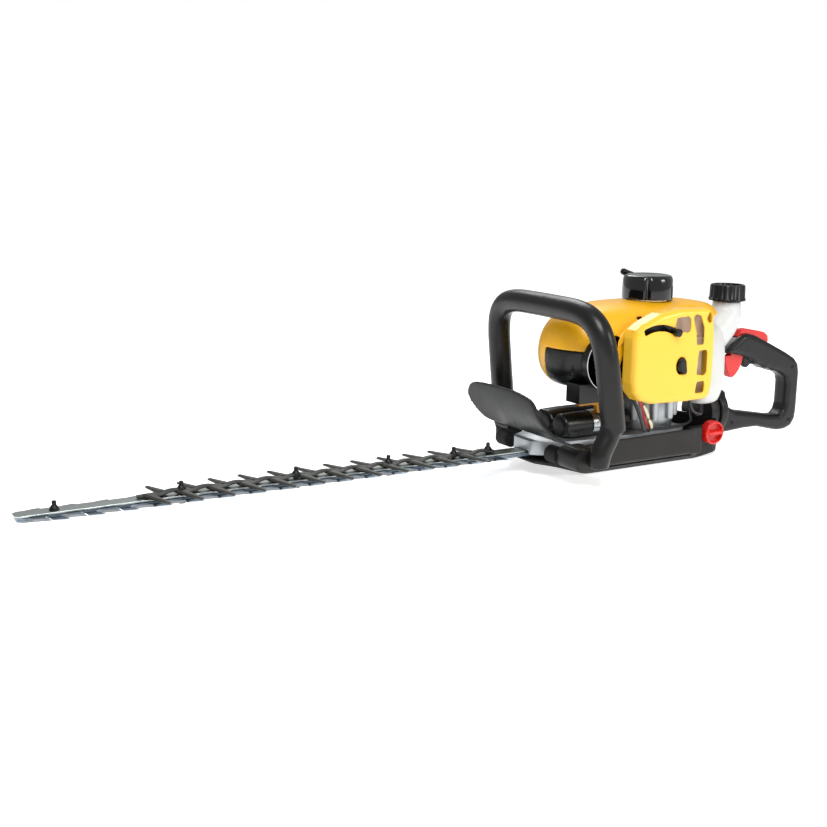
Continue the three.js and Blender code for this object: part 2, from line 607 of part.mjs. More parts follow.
const shieldX = -199;
const shieldThick = 3.5;
const shieldOutline = rounded([
  [106, 84], [98, 97], [75, 105], [50, 107], [20, 105], [-5, 100], [-30, 90], [-55, 76], [-85, 62],
  [-116, 58], [-118, 50], [-60, 50], [0, 48], [40, 52], [75, 60], [100, 72],
], 8);
const shield = facePrism(shieldOutline, shieldX, shieldX + shieldThick)
  .add(block(shieldX + 1, -172.5, -117, -103, 50.5, 57.5));
piece('hand_shield', shield, black);

// ---- rear handle --------------------------------------------------------------------------------
const pinRadius = 7.5;
const mountFront = 98;
const handleFront = 113.4;
const flangeBack = 126;
piece('swivel_mount', turned([
  [0, mountFront], [30, mountFront], [30, handleFront - 0.4], [pinRadius, handleFront - 0.4],
  [pinRadius, flangeBack + 0.4], [12, flangeBack + 0.4], [12, flangeBack + 4.6], [0, flangeBack + 4.6],
], [0, 0, swivelZ], 'x').subtract(block(90, baseRearX + gap, -60, 60, 0, baseTop + 4.5)), black);
const flange = ring(pinRadius + 0.4, swivelRadius, handleFront, flangeBack, [0, 0, swivelZ], 'x');

const gripOutline = [
  [flangeBack - 0.1, 20], [144, 17], [205, 19], [244, 10], [266, 10], [276, 18], [279, 32], [279, 94],
  [275, 106], [262, 116], [218, 137], [176, 153], [164, 151], [137, 130], [136, 124], [169, 116],
  [210, 103], [247, 92], [255, 84], [255, 42], [248, 32], [208, 38], [156, 47], [143, 62], [139, 76],
  [flangeBack - 0.1, 80],
];
const gripHollow = rounded(gripOutline, 5, 3);
const pocket = (corners) => sidePrism(rounded(corners, 0), -6, 6);
const triggerPocket = pocket([[138, 100], [174, 100], [174, 142], [160, 142], [140, 127.5]]);
const leverPocket = pocket([[160, 140], [221, 122], [221, 170], [160, 170]]);
const headPocket = disc(12.5, flangeBack - 0.2, flangeBack + 5, [0, 0, swivelZ], 'x', 16);
[['left', -1], ['right', 1]].forEach(([word, side]) => {
  const outside = side * shellHalf;
  const inside = side * (shellHalf - 3);
  const seam = side * gap * 0.5;
  const span = (a, b) => [Math.min(a, b), Math.max(a, b)];
  const shell = sidePrism(rounded(gripOutline, 5), ...span(seam, outside))
    .subtract(sidePrism(gripHollow, ...span(seam - side, inside)))
    .add(flange.intersect(block(100, 200, ...span(seam, side * 60), 0, 100)))
    .subtract(triggerPocket).subtract(leverPocket).subtract(headPocket);
  piece(`rear_handle_${word}`, shell, black);
});

piece('throttle_trigger', sidePrism(rounded([
  [157, 135], [165, 136], [169, 130], [169, 118], [165, 108], [156, 94], [151, 91], [145, 95],
  [140.5, 108], [140.5, 122],
], 3), -5, 5), red);
piece('throttle_lockout', sidePrism(rounded([
  [162, 147], [167, 158], [178, 158], [201, 150], [218, 140], [216, 135], [201, 142], [181, 148],
  [171, 144.5],
], 3), -5, 5), red);
piece('stop_switch', block(184, 198, shellHalf + gap, shellHalf + 5, 128, 136), red);

const knobAt = [75, 34];
piece('swivel_lock_knob', disc(15.5, -60, -48.5, [knobAt[0], 0, knobAt[1]], 'y', 20)
  .add(block(knobAt[0] - 11, knobAt[0] + 11, -66, -59, knobAt[1] - 3, knobAt[1] + 3)), red);

// ---- cables held all the way ------------------------------------------------------------------
piece('throttle_cable', bentBar([
  [mountFront - 1.5, -16, 66], [91, -16, 66], [82, -26, 61], [60, -46, 58], [40, -52, 66], [30, -56, 84],
  [22, -63, 104], [14, -64, 118], [11.5, -63, 130],
], 2.2, 4, 26), black);
piece('stop_wire', bentBar([
  [mountFront - 1.5, 4, 66], [90, 4, 66], [76, -16, 60], [60, -34, 50], [30, -50, 49], [0, -56, 50],
  [-34, -55, 58], [-60, -52, 80], [-66, -48, 100],
], 1.8, 4, 26), red);

export default trimmer;
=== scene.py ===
import math

import bmesh
import bpy
from mathutils import Matrix, Vector


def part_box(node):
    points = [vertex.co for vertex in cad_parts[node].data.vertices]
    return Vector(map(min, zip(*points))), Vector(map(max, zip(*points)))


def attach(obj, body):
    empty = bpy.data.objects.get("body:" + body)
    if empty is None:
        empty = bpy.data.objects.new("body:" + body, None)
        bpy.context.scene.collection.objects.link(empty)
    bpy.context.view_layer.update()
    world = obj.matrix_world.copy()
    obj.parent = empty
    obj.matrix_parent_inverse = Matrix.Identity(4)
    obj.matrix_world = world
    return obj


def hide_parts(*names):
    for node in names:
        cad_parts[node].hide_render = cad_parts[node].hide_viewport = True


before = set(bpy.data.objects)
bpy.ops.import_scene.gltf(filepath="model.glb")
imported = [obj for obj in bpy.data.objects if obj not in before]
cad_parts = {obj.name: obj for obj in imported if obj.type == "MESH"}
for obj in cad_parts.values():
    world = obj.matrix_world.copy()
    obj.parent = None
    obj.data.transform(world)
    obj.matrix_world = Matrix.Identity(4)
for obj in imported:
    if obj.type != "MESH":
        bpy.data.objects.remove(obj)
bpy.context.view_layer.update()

scene = bpy.context.scene

# ---- Studio --------------------------------------------------------------------------------------
# A white sweep under wide soft lamps, as a tool is shown in a catalogue. The camera stands in front
# of the blades, low and to the machine's left, and looks back along the bar to the engine.
def linear(code):
    """A sRGB hex colour as the linear colour that shaders take."""
    parts = [int(code[i:i + 2], 16) / 255 for i in (1, 3, 5)]
    return tuple(c / 12.92 if c <= 0.04045 else ((c + 0.055) / 1.055) ** 2.4 for c in parts) + (1.0,)


def add(tree, kind, settings=(), links=()):
    """Adds a node, sets its properties or sockets by name, and links its sockets to outputs."""
    node = tree.nodes.new(kind)
    for key, value in dict(settings).items():
        if isinstance(key, str) and hasattr(node, key):
            setattr(node, key, value)
        else:
            node.inputs[key].default_value = value
    for key, source in dict(links).items():
        tree.links.new(source, node.inputs[key])
    return node


camera_data = bpy.data.cameras.new("camera")
camera_data.sensor_width = 36
camera_data.lens = 53.13
camera_data.shift_x = -0.0117
camera_data.shift_y = -0.0206
camera = bpy.data.objects.new("camera", camera_data)
scene.collection.objects.link(camera)
yaw, pitch, roll = (math.radians(a) for a in (31.21, 11.11, 1.04))
ahead = Vector((math.sin(yaw) * math.cos(pitch), math.cos(yaw) * math.cos(pitch), -math.sin(pitch)))
level = Vector((math.cos(yaw), -math.sin(yaw), 0))
upright = level.cross(ahead)
across = math.cos(roll) * level + math.sin(roll) * upright
above = -math.sin(roll) * level + math.cos(roll) * upright
camera.matrix_world = (Matrix.Translation((-1.05203, -1.1872, 0.37919))
                       @ Matrix((across, above, -ahead)).transposed().to_4x4())
scene.camera = camera
scene.view_settings.view_transform = "Standard"

world = bpy.data.worlds.new("studio")
scene.world = world
world.use_nodes = True
world.node_tree.nodes.clear()
# The paper behind is pure white; the walls that light the tool are dimmer than the paper.
paper = add(world.node_tree, "ShaderNodeBackground", {"Color": linear("#ffffff"), "Strength": 1.0})
walls = add(world.node_tree, "ShaderNodeBackground", {"Color": linear("#fbfdff"), "Strength": 0.42})
ray = add(world.node_tree, "ShaderNodeLightPath")
seen = add(world.node_tree, "ShaderNodeMixShader", {}, {
    0: ray.outputs["Is Camera Ray"], 1: walls.outputs[0], 2: paper.outputs[0]})
add(world.node_tree, "ShaderNodeOutputWorld", {}, {"Surface": seen.outputs[0]})
tool_middle = Vector((-0.05, 0, 0.1))
for name, place, size, power in [
    ("key", (-0.7, -1.0, 1.5), 0.8, 24),
    ("side", (0.9, -1.3, 0.8), 0.5, 7),
    ("back", (0.3, 1.1, 1.4), 0.9, 14),
]:
    lamp = bpy.data.lights.new(name, "AREA")
    lamp.size = size
    lamp.energy = power
    lamp_object = bpy.data.objects.new(name, lamp)
    lamp_object.location = place
    lamp_object.rotation_euler = (tool_middle - Vector(place)).to_track_quat("-Z", "Y").to_euler()
    scene.collection.objects.link(lamp_object)

# Matt paper, lit a little from within so that it stays as white as the paper behind.
floor_paint = bpy.data.materials.new("matt_white_paper")
floor_paint.use_nodes = True
for key, value in {"Base Color": linear("#f7f7f7"), "Roughness": 0.9, "Emission Color": linear("#ffffff"),
                   "Emission Strength": 0.62}.items():
    floor_paint.node_tree.nodes["Principled BSDF"].inputs[key].default_value = value
floor_reach = 9
floor_corners = [(-floor_reach, -floor_reach, 0), (floor_reach, -floor_reach, 0),
                 (floor_reach, floor_reach, 0), (-floor_reach, floor_reach, 0)]
floor_mesh = bpy.data.meshes.new("floor")
floor_mesh.from_pydata(floor_corners, [], [(0, 1, 2, 3)])
floor_mesh.materials.append(floor_paint)
floor = bpy.data.objects.new("floor", floor_mesh)
scene.collection.objects.link(floor)

# ---- Cutter blades -------------------------------------------------------------------------------
# Two long strips of hardened spring steel, punched with hooked teeth on both sides and ground to an
# edge. They slide on each other. The faces are satin and bluish, the ground edges are bright.
mm = 0.001


def finish(name, light, dark, metal, rough, grain, relief, stretch=(1, 1, 1), cloud=40, spread=0.12,
           coat=0.0, ior=1.5):
    """A finish: colour drifting from light to dark, grain in mm with its relief in mm, uneven gloss.

    stretch draws the grain out along an axis, cloud is how close the drift lies, and spread how far
    the roughness wanders. coat is a glossy skin over it.
    """
    made = bpy.data.materials.new(name)
    made.use_nodes = True
    tree = made.node_tree
    tree.nodes.clear()
    surface = add(tree, "ShaderNodeTexCoord")
    place = add(tree, "ShaderNodeMapping", {"vector_type": "POINT", "Scale": stretch},
                {"Vector": surface.outputs["Object"]})
    drift = add(tree, "ShaderNodeTexNoise", {"Scale": cloud, "Detail": 3.0, "Roughness": 0.55},
                {"Vector": place.outputs["Vector"]})
    pits = add(tree, "ShaderNodeTexNoise", {"Scale": 1 / (grain * mm), "Detail": 2.0, "Roughness": 0.6},
               {"Vector": place.outputs["Vector"]})
    colour = add(tree, "ShaderNodeMix", {"data_type": "RGBA"}, {0: drift.outputs["Fac"]})
    colour.inputs[6].default_value = linear(light)
    colour.inputs[7].default_value = linear(dark)
    gloss = add(tree, "ShaderNodeMapRange", {"From Min": 0.3, "From Max": 0.7, "To Min": rough - spread / 2,
                                             "To Max": rough + spread / 2}, {"Value": drift.outputs["Fac"]})
    bump = add(tree, "ShaderNodeBump", {"Strength": 1.0, "Distance": relief * mm},
               {"Height": pits.outputs["Fac"]})
    shader = add(tree, "ShaderNodeBsdfPrincipled", {"Metallic": metal, "Coat Weight": coat},
                 {"Base Color": colour.outputs[2], "Roughness": gloss.outputs["Result"],
                  "Normal": bump.outputs["Normal"]})
    if metal == 0:
        shader.inputs["IOR"].default_value = ior
    add(tree, "ShaderNodeOutputMaterial", {}, {"Surface": shader.outputs["BSDF"]})
    return made


# Satin ground strip: long grinding lines along the bar, 0.4 mm apart, drawn coarser to show.
blade_steel = finish("satin_ground_spring_steel", "#8e9aa5", "#6f7b87", 1, 0.36, 0.5, 0.02, (0.06, 1, 1))
# Freshly ground bevels: brighter and smoother than the faces.
edge_steel = finish("ground_cutting_edge_steel", "#e4e8ec", "#c9ced4", 1, 0.2, 0.3, 0.01, (1, 0.1, 1))


def shown(name, mesh):
    """Puts a mesh in the scene under its piece's name."""
    made = bpy.data.objects.new(name, mesh)
    scene.collection.objects.link(made)
    return made


def from_bmesh(name, bm):
    """Turns a drawn shape into a piece of the scene."""
    mesh = bpy.data.meshes.new(name)
    bm.to_mesh(mesh)
    bm.free()
    return shown(name, mesh)


def settle(made, angle=38):
    """Turns the modifiers' result into the object's own plain mesh, smooth but for its sharp edges."""
    graph = bpy.context.evaluated_depsgraph_get()
    mesh = bpy.data.meshes.new_from_object(made.evaluated_get(graph))
    mesh.name = made.name
    made.modifiers.clear()
    made.data = mesh
    mesh.shade_smooth()
    mesh.set_sharp_from_angle(angle=math.radians(angle))
    return made


def keep(made, body, nodes):
    """Files a finished piece with its body and hides the CAD nodes it stands for."""
    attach(made, body)
    if nodes:
        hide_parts(*nodes)
    return made


def laid(axis, a, b, height):
    """A point of an outline, with its height laid along the axis."""
    return {"z": (a, b, height), "y": (a, height, b), "x": (height, a, b)}[axis]


def prism(bm, outline, low, high, axis="z"):
    """A closed prism over an outline: (x, y) along z, (x, z) along y, or (y, z) along x, in mm."""
    rings = [[bm.verts.new(Vector(laid(axis, a, b, height)) * mm) for a, b in outline]
             for height in (low, high)]
    faces = [bm.faces.new(rings[0]), bm.faces.new(rings[1])]
    count = len(outline)
    for i in range(count):
        j = (i + 1) % count
        faces.append(bm.faces.new((rings[0][i], rings[0][j], rings[1][j], rings[1][i])))
    bmesh.ops.recalc_face_normals(bm, faces=faces)


def row_tree():
    """Copies of one piece in a straight row, joined to the strip that carries them."""
    tree = bpy.data.node_groups.new("row_along_strip", "GeometryNodeTree")
    sockets = {}
    for name, kind in [("Strip", "Geometry"), ("Unit", "Object"), ("Count", "Int"), ("Start", "Vector"),
                       ("Step", "Vector"), ("Finish", "Material"), ("Edge finish", "Material")]:
        socket = tree.interface.new_socket(name, in_out="INPUT", socket_type="NodeSocket" + kind)
        sockets[name] = socket.identifier
    tree.interface.new_socket("Row", in_out="OUTPUT", socket_type="NodeSocketGeometry")
    given = add(tree, "NodeGroupInput")
    unit = add(tree, "GeometryNodeObjectInfo", {}, {"Object": given.outputs["Unit"]})
    line = add(tree, "GeometryNodeMeshLine", {}, {
        "Count": given.outputs["Count"], "Start Location": given.outputs["Start"],
        "Offset": given.outputs["Step"]})
    copies = add(tree, "GeometryNodeInstanceOnPoints", {}, {
        "Points": line.outputs["Mesh"], "Instance": unit.outputs["Geometry"]})
    both = add(tree, "GeometryNodeJoinGeometry")
    tree.links.new(copies.outputs["Instances"], both.inputs["Geometry"])
    tree.links.new(given.outputs["Strip"], both.inputs["Geometry"])
    real = add(tree, "GeometryNodeRealizeInstances", {}, {"Geometry": both.outputs["Geometry"]})
    ground = add(tree, "GeometryNodeInputNamedAttribute", {"data_type": "BOOLEAN", "Name": "ground"})
    faces = add(tree, "GeometryNodeSetMaterial", {}, {
        "Geometry": real.outputs["Geometry"], "Material": given.outputs["Finish"]})
    edges = add(tree, "GeometryNodeSetMaterial", {}, {
        "Geometry": faces.outputs["Geometry"], "Material": given.outputs["Edge finish"],
        "Selection": ground.outputs["Attribute"]})
    add(tree, "NodeGroupOutput", {}, {"Row": edges.outputs["Geometry"]})
    return tree, sockets


row_group, row_sockets = row_tree()


def rowed(strip, unit, count, start, step, finish_used, edge_finish):
    """Runs the row tree on a strip and leaves a plain mesh."""
    made = strip.modifiers.new("row", "NODES")
    made.node_group = row_group
    values = {"Unit": unit, "Count": count, "Start": [v * mm for v in start],
              "Step": [v * mm for v in step], "Finish": finish_used, "Edge finish": edge_finish}
    for name, value in values.items():
        made[row_sockets[name]] = value
    settle(strip, 25)
    bpy.data.objects.remove(unit)
    return strip


tooth_pitch = 35
tooth_root = 11.5
tooth_reach = 22.5
bevel_width = 2.6
tooth_shape = [(-12, tooth_root - 1), (-7, tooth_reach - 2.5), (3, tooth_reach - 0.8),
               (10, tooth_reach + 0.4), (13.5, tooth_reach - 1), (9.5, tooth_reach - 4.6),
               (11.5, tooth_reach - 7.2), (8, tooth_root - 1)]


def tooth_pair(name, low, high, ground_up):
    """One hooked tooth on each side of the strip, ground towards the face that meets the other blade."""
    bm = bmesh.new()
    layer = bm.faces.layers.bool.new("ground")
    for side in (-1, 1):
        middle = (2, tooth_root - 1)
        small = [(middle[0] + (x - middle[0]) * 0.72, middle[1] + (y - middle[1]) * (1 - bevel_width / 11.5))
                 for x, y in tooth_shape]
        full, inner = (low, high) if ground_up else (high, low)
        outer_ring = [bm.verts.new(Vector((x, side * y, full)) * mm) for x, y in tooth_shape]
        inner_ring = [bm.verts.new(Vector((x, side * y, inner)) * mm) for x, y in small]
        bm.faces.new(outer_ring)
        bm.faces.new(inner_ring)
        for i in range(len(tooth_shape)):
            j = (i + 1) % len(tooth_shape)
            face = bm.faces.new((outer_ring[i], outer_ring[j], inner_ring[j], inner_ring[i]))
            face[layer] = True
    bmesh.ops.recalc_face_normals(bm, faces=bm.faces)
    return from_bmesh(name, bm)


for node, first_shift, ground_up in [("upper_blade", 0, True), ("lower_blade", tooth_pitch / 2, False)]:
    low_corner, high_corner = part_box(node)
    tip, rear = low_corner.x / mm, high_corner.x / mm
    low, high = low_corner.z / mm, high_corner.z / mm
    bm = bmesh.new()
    bm.faces.layers.bool.new("ground")
    strip_outline = [(tip, -7), (tip + 6, -tooth_root), (rear, -tooth_root), (rear, tooth_root),
                     (tip + 6, tooth_root), (tip, 7)]
    prism(bm, strip_outline, low, high)
    blade = from_bmesh(node + "_ground", bm)
    unit = tooth_pair(node + "_tooth", low, high, ground_up)
    rowed(blade, unit, 16, (tip + 18 + first_shift, 0, 0), (tooth_pitch, 0, 0), blade_steel, edge_steel)
    keep(blade, node, [node])

# ---- Guide bar -----------------------------------------------------------------------------------
# The stiff bar that the blades hang from, in rolled steel with its edges eased. The blade bolts run
# through it.
# Bright rolled steel: paler than the blades, with faint rolling lines along the bar.
bar_steel = finish("bright_rolled_bar_steel", "#c6ccc8", "#aeb5b2", 1, 0.3, 0.6, 0.015, (0.05, 1, 1))


def eased_copy(node, made_name, paint, radius, segments=2, body="root"):
    """A copy of a CAD node with its edges rounded over by radius in mm, standing for that node."""
    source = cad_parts[node]
    bm = bmesh.new()
    bm.from_mesh(source.data)
    bmesh.ops.remove_doubles(bm, verts=bm.verts, dist=0.05 * mm)
    bmesh.ops.dissolve_limit(bm, angle_limit=math.radians(1), verts=bm.verts, edges=bm.edges)
    for layer in list(bm.loops.layers.uv):
        bm.loops.layers.uv.remove(layer)
    made = from_bmesh(made_name, bm)
    made.data.materials.clear()
    made.data.materials.append(paint)
    ease = made.modifiers.new("eased", "BEVEL")
    ease.width = radius * mm
    ease.segments = segments
    ease.limit_method = "ANGLE"
    ease.angle_limit = math.radians(32)
    ease.use_clamp_overlap = True
    settle(made, 30)
    return keep(made, body, [node])


eased_copy("guide_bar", "guide_bar_strip", bar_steel, 0.2, 1)

# ---- Comb guard ----------------------------------------------------------------------------------
# A black moulded comb over the blades. Its blunt fingers stand out past the teeth, and its spine
# arches between them, so that the bright bar shows through below.
# Filled nylon, dark and slightly green, with a pitted skin that dulls it.
guard_nylon = finish("glass_filled_nylon_guard", "#343531", "#282925", 0, 0.5, 0.7, 0.05)
guard_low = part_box("comb_guard")[0]
first_finger = guard_low.x / mm + 22
guard_z = guard_low.z / mm


def loft(bm, rings):
    """Skins closed rings of points, given in mm, and caps both ends."""
    made = [[bm.verts.new(Vector(point) * mm) for point in ring] for ring in rings]
    faces = []
    for one, two in zip(made, made[1:]):
        for i in range(len(one)):
            j = (i + 1) % len(one)
            faces.append(bm.faces.new((one[i], one[j], two[j], two[i])))
    faces += [bm.faces.new(made[0]), bm.faces.new(made[-1])]
    bmesh.ops.recalc_face_normals(bm, faces=faces)


def bar_ring(x, y, z, wide, tall, lie="y"):
    """An eight-cornered bar section about a point; the bar runs along lie."""
    corner = 0.3
    shape = [(-wide, -tall * corner), (-wide, tall * corner), (-wide * 0.6, tall), (wide * 0.6, tall),
             (wide, tall * corner), (wide, -tall * corner), (wide * 0.6, -tall), (-wide * 0.6, -tall)]
    return [(x + a, y, z + b) if lie == "y" else (x, y + a, z + b) for a, b in shape]


bm = bmesh.new()
bm.faces.layers.bool.new("ground")
for side in (-1, 1):
    root_at = 6 if side > 0 else -11
    loft(bm, [bar_ring(root_at * (1 - t), side * (1 + t * 33.5), guard_z + 2.4 - 1.3 * t, 6.4 - 4.2 * t,
                       2.2 - 0.9 * t) for t in (0, 0.25, 0.5, 0.75, 0.93, 1)])
arch = 2.4
loft(bm, [bar_ring(tooth_pitch * t, 0, guard_z + 2 + arch * math.sin(math.pi * t) ** 2,
                   6.5 - 3 * math.sin(math.pi * t) ** 2, 1.7, "x") for t in [i / 10 for i in range(11)]])
finger_unit = from_bmesh("guard_unit", bm)
bm = bmesh.new()
bm.faces.layers.bool.new("ground")
loft(bm, [bar_ring(first_finger - 22 + 22 * t, 0, guard_z + 1.8, 2.5 + 4 * t, 1.6, "x")
          for t in (0, 0.6, 1)])
guard = from_bmesh("comb_guard_moulding", bm)
rowed(guard, finger_unit, 12, (first_finger, 0, 0), (tooth_pitch, 0, 0), guard_nylon, guard_nylon)
keep(guard, "root", ["comb_guard"])

# ---- Blade bolts ---------------------------------------------------------------------------------
# Shouldered bolts with tall conical nuts, in blackened steel. Each clamps the bar and guides the
# slots of both blades.
# Blackened steel with an oily film: nearly black, with soft highlights.
bolt_steel = finish("oil_blackened_steel", "#2a2b2c", "#1b1c1d", 0.7, 0.42, 0.4, 0.02)


def turned(bm, profile, centre, axis="z", sides=40, rib=None):
    """A turned piece from (radius, height) pairs in mm. rib(i, height) may change the radius round it."""
    rings = []
    for radius, height in profile:
        spread = []
        for i in range(sides):
            r = radius + (rib(i, height) if rib else 0)
            turn = 2 * math.pi * i / sides
            point = laid(axis, r * math.cos(turn), r * math.sin(turn), height)
            spread.append([c + f for c, f in zip(centre, point)])
        rings.append(spread)
    loft(bm, rings)


def fitted_tree():
    """A piece fitted at each vertex of another."""
    tree = bpy.data.node_groups.new("fitted_at_places", "GeometryNodeTree")
    sockets = {}
    for name, kind in [("Places", "Geometry"), ("Unit", "Object"), ("Finish", "Material")]:
        socket = tree.interface.new_socket(name, in_out="INPUT", socket_type="NodeSocket" + kind)
        sockets[name] = socket.identifier
    tree.interface.new_socket("Fitted", in_out="OUTPUT", socket_type="NodeSocketGeometry")
    given = add(tree, "NodeGroupInput")
    unit = add(tree, "GeometryNodeObjectInfo", {}, {"Object": given.outputs["Unit"]})
    copies = add(tree, "GeometryNodeInstanceOnPoints", {}, {
        "Points": given.outputs["Places"], "Instance": unit.outputs["Geometry"]})
    real = add(tree, "GeometryNodeRealizeInstances", {}, {"Geometry": copies.outputs["Instances"]})
    painted = add(tree, "GeometryNodeSetMaterial", {}, {
        "Geometry": real.outputs["Geometry"], "Material": given.outputs["Finish"]})
    add(tree, "NodeGroupOutput", {}, {"Fitted": painted.outputs["Geometry"]})
    return tree, sockets


fitted_group, fitted_sockets = fitted_tree()


def fitted(name, bm, places, finish_used):
    """Fits copies of the piece in bm at the places, in mm, as one plain mesh."""
    unit = from_bmesh(name + "_unit", bm)
    mesh = bpy.data.meshes.new(name)
    mesh.from_pydata([Vector(place) * mm for place in places], [], [])
    made = shown(name, mesh)
    nodes = made.modifiers.new("fitted", "NODES")
    nodes.node_group = fitted_group
    nodes[fitted_sockets["Unit"]] = unit
    nodes[fitted_sockets["Finish"]] = finish_used
    settle(made, 30)
    bpy.data.objects.remove(unit)
    return made


for name, numbers in [("blade_bolts_front", [1]), ("blade_bolts_rear", [2, 3, 4, 5, 6])]:
    boxes = [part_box(f"blade_bolt_{number}") for number in numbers]
    foot, top = boxes[0][0].z / mm, boxes[0][1].z / mm
    bm = bmesh.new()
    turned(bm, [(4.4, foot), (5.2, foot + 0.8), (5.2, foot + 3.2), (2.4, foot + 3.7), (2.4, top - 11.6),
                (4.8, top - 11.6), (5.1, top - 11), (5, top - 8.4), (4.3, top - 6.6), (3, top - 4.9),
                (2.2, top - 4.2), (2.4, top - 1.4), (2.2, top - 0.3), (1.6, top)], (0, 0, 0), sides=24)
    places = [((low.x + high.x) / 2 / mm, 0, 0) for low, high in boxes]
    bolts = fitted(name, bm, places, bolt_steel)
    keep(bolts, "root", [f"blade_bolt_{number}" for number in numbers])

# ---- Gear case -----------------------------------------------------------------------------------
# Two halves of die-cast aluminium, bolted together round the cam gear with cap screws.
# The casting's skin: pale, slightly rough and unpolished, with a fine pitting.
cast_skin = finish("die_cast_aluminium", "#bcc0c2", "#989da1", 1, 0.46, 0.9, 0.08, spread=0.16)
eased_copy("gear_case_lower", "gear_case_lower_casting", cast_skin, 1.0, 2)
eased_copy("gear_case_cover", "gear_case_cover_casting", cast_skin, 1.0, 2)
# Zinc plating: bright and smooth, with a cool cast.
screw_steel = finish("zinc_plated_screw_steel", "#c3c7ca", "#9ea3a6", 1, 0.28, 0.3, 0.01)
case_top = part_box("gear_case_cover")[1].z / mm


def screw(bm, radius, low, high):
    """A cap screw with a hexagon socket."""
    turned(bm, [(radius, low), (radius, high - 0.5), (radius - 0.5, high), (radius * 0.62, high),
                (radius * 0.55, high - 1.6)], (0, 0, 0), sides=24)


bm = bmesh.new()
screw(bm, 3.2, case_top - 0.2, case_top + 3)
case_screws = fitted("gear_case_screws", bm, [(-158, -24, 0), (-158, 24, 0), (34, -36, 0), (34, 36, 0)],
                     screw_steel)
keep(case_screws, "root", [])

# ---- Base ----------------------------------------------------------------------------------------
# The skid under the whole machine: a deep tray of glass-filled nylon with eased rims.
# Filled nylon, warm black, with a fine grain from the mould.
tray_nylon = finish("glass_filled_nylon_tray", "#201f1d", "#181716", 0, 0.46, 0.8, 0.06, ior=1.38)


def fuse(made, voxel):
    """Melts the closed bodies of a piece into one skin, with faces of about voxel mm."""
    melt = made.modifiers.new("fused", "REMESH")
    melt.mode = "VOXEL"
    melt.voxel_size = voxel * mm


def ease_edges(made, rounds):
    """Rounds every edge over, a little further with each round."""
    ease = made.modifiers.new("eased", "SMOOTH")
    ease.factor = 0.5
    ease.iterations = rounds


def softened_copy(node, made_name, paint, voxel, rounds, extra):
    """A copy of a CAD node, with extra walls, and every edge rounded as thick moulded nylon has them."""
    bm = bmesh.new()
    bm.from_mesh(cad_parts[node].data)
    for layer in list(bm.loops.layers.uv):
        bm.loops.layers.uv.remove(layer)
    bmesh.ops.remove_doubles(bm, verts=bm.verts, dist=0.02 * mm)
    for outline, low, high in extra:
        prism(bm, outline, low, high)
    made = from_bmesh(made_name, bm)
    fuse(made, voxel)
    ease_edges(made, rounds)
    settle(made, 60)
    made.data.materials.clear()
    made.data.materials.append(paint)
    return keep(made, "root", [node])


# The wall runs on, straight, up to the lock knob.
softened_copy("base_frame", "base_tray", tray_nylon, 1.3, 7,
              [([(38, -57.8), (55, -57.8), (58, -54), (58, -46), (38, -46)], 9, 43.6)])

# ---- Front handle --------------------------------------------------------------------------------
# A looped grip moulded over a tube, leaning forward, with a flared foot on each side that bolts to
# a block. The skin is a semi-matt nylon that hands have slightly polished.
# Nylon that hands have polished: deep black with a soft sheen.
handle_nylon = finish("semi_matt_nylon_grip", "#131311", "#0d0d0c", 0, 0.36, 0.5, 0.02, coat=0.05, ior=1.38)


def tube(bm, path, radii, sides=32, flat=1.0, lie=(0, 0, 1)):
    """A round bar along points in mm; flat squeezes it along the direction lie."""
    points = [Vector(point) for point in path]
    rings = []
    for i, point in enumerate(points):
        along = (points[min(i + 1, len(points) - 1)] - points[max(i - 1, 0)]).normalized()
        one = Vector(lie).cross(along)
        one.normalize()
        two = along.cross(one)
        radius = radii[i] if isinstance(radii, (list, tuple)) else radii
        rings.append([point + one * radius * math.cos(2 * math.pi * k / sides)
                      + two * radius * flat * math.sin(2 * math.pi * k / sides) for k in range(sides)])
    loft(bm, rings)


def smooth_path(corners, steps):
    """A path through the corners with evenly rounded turns."""
    points = [Vector(corner) for corner in corners]
    padded = [points[0] * 2 - points[1]] + points + [points[-1] * 2 - points[-2]]
    path = []
    for i in range(1, len(padded) - 2):
        a, b, c, d = padded[i - 1:i + 3]
        for k in range(steps):
            t = k / steps
            path.append(0.5 * ((2 * b) + (c - a) * t + (2 * a - 5 * b + 4 * c - d) * t * t
                               + (3 * b - a - 3 * c + d) * t ** 3))
    path.append(points[-1])
    return path


def carve(made, tool, angle=38):
    """Takes the tool's body out of a piece and throws the tool away."""
    cut = made.modifiers.new("carved", "BOOLEAN")
    cut.operation = "DIFFERENCE"
    cut.solver = "MANIFOLD"
    cut.object = tool
    settle(made, angle)
    bpy.data.objects.remove(tool)


def moulded(name, bm, paint, voxel, rounds, cuts=None):
    """Fuses the closed bodies in bm, takes the cuts out and rounds every edge as a mould does."""
    made = from_bmesh(name, bm)
    fuse(made, voxel)
    if cuts:
        tool = from_bmesh(name + "_cuts", cuts)
        fuse(tool, voxel)
        settle(tool)
        settle(made)
        carve(made, tool)
        fuse(made, voxel)
    ease_edges(made, rounds)
    settle(made, 60)
    made.data.materials.clear()
    made.data.materials.append(paint)
    return made


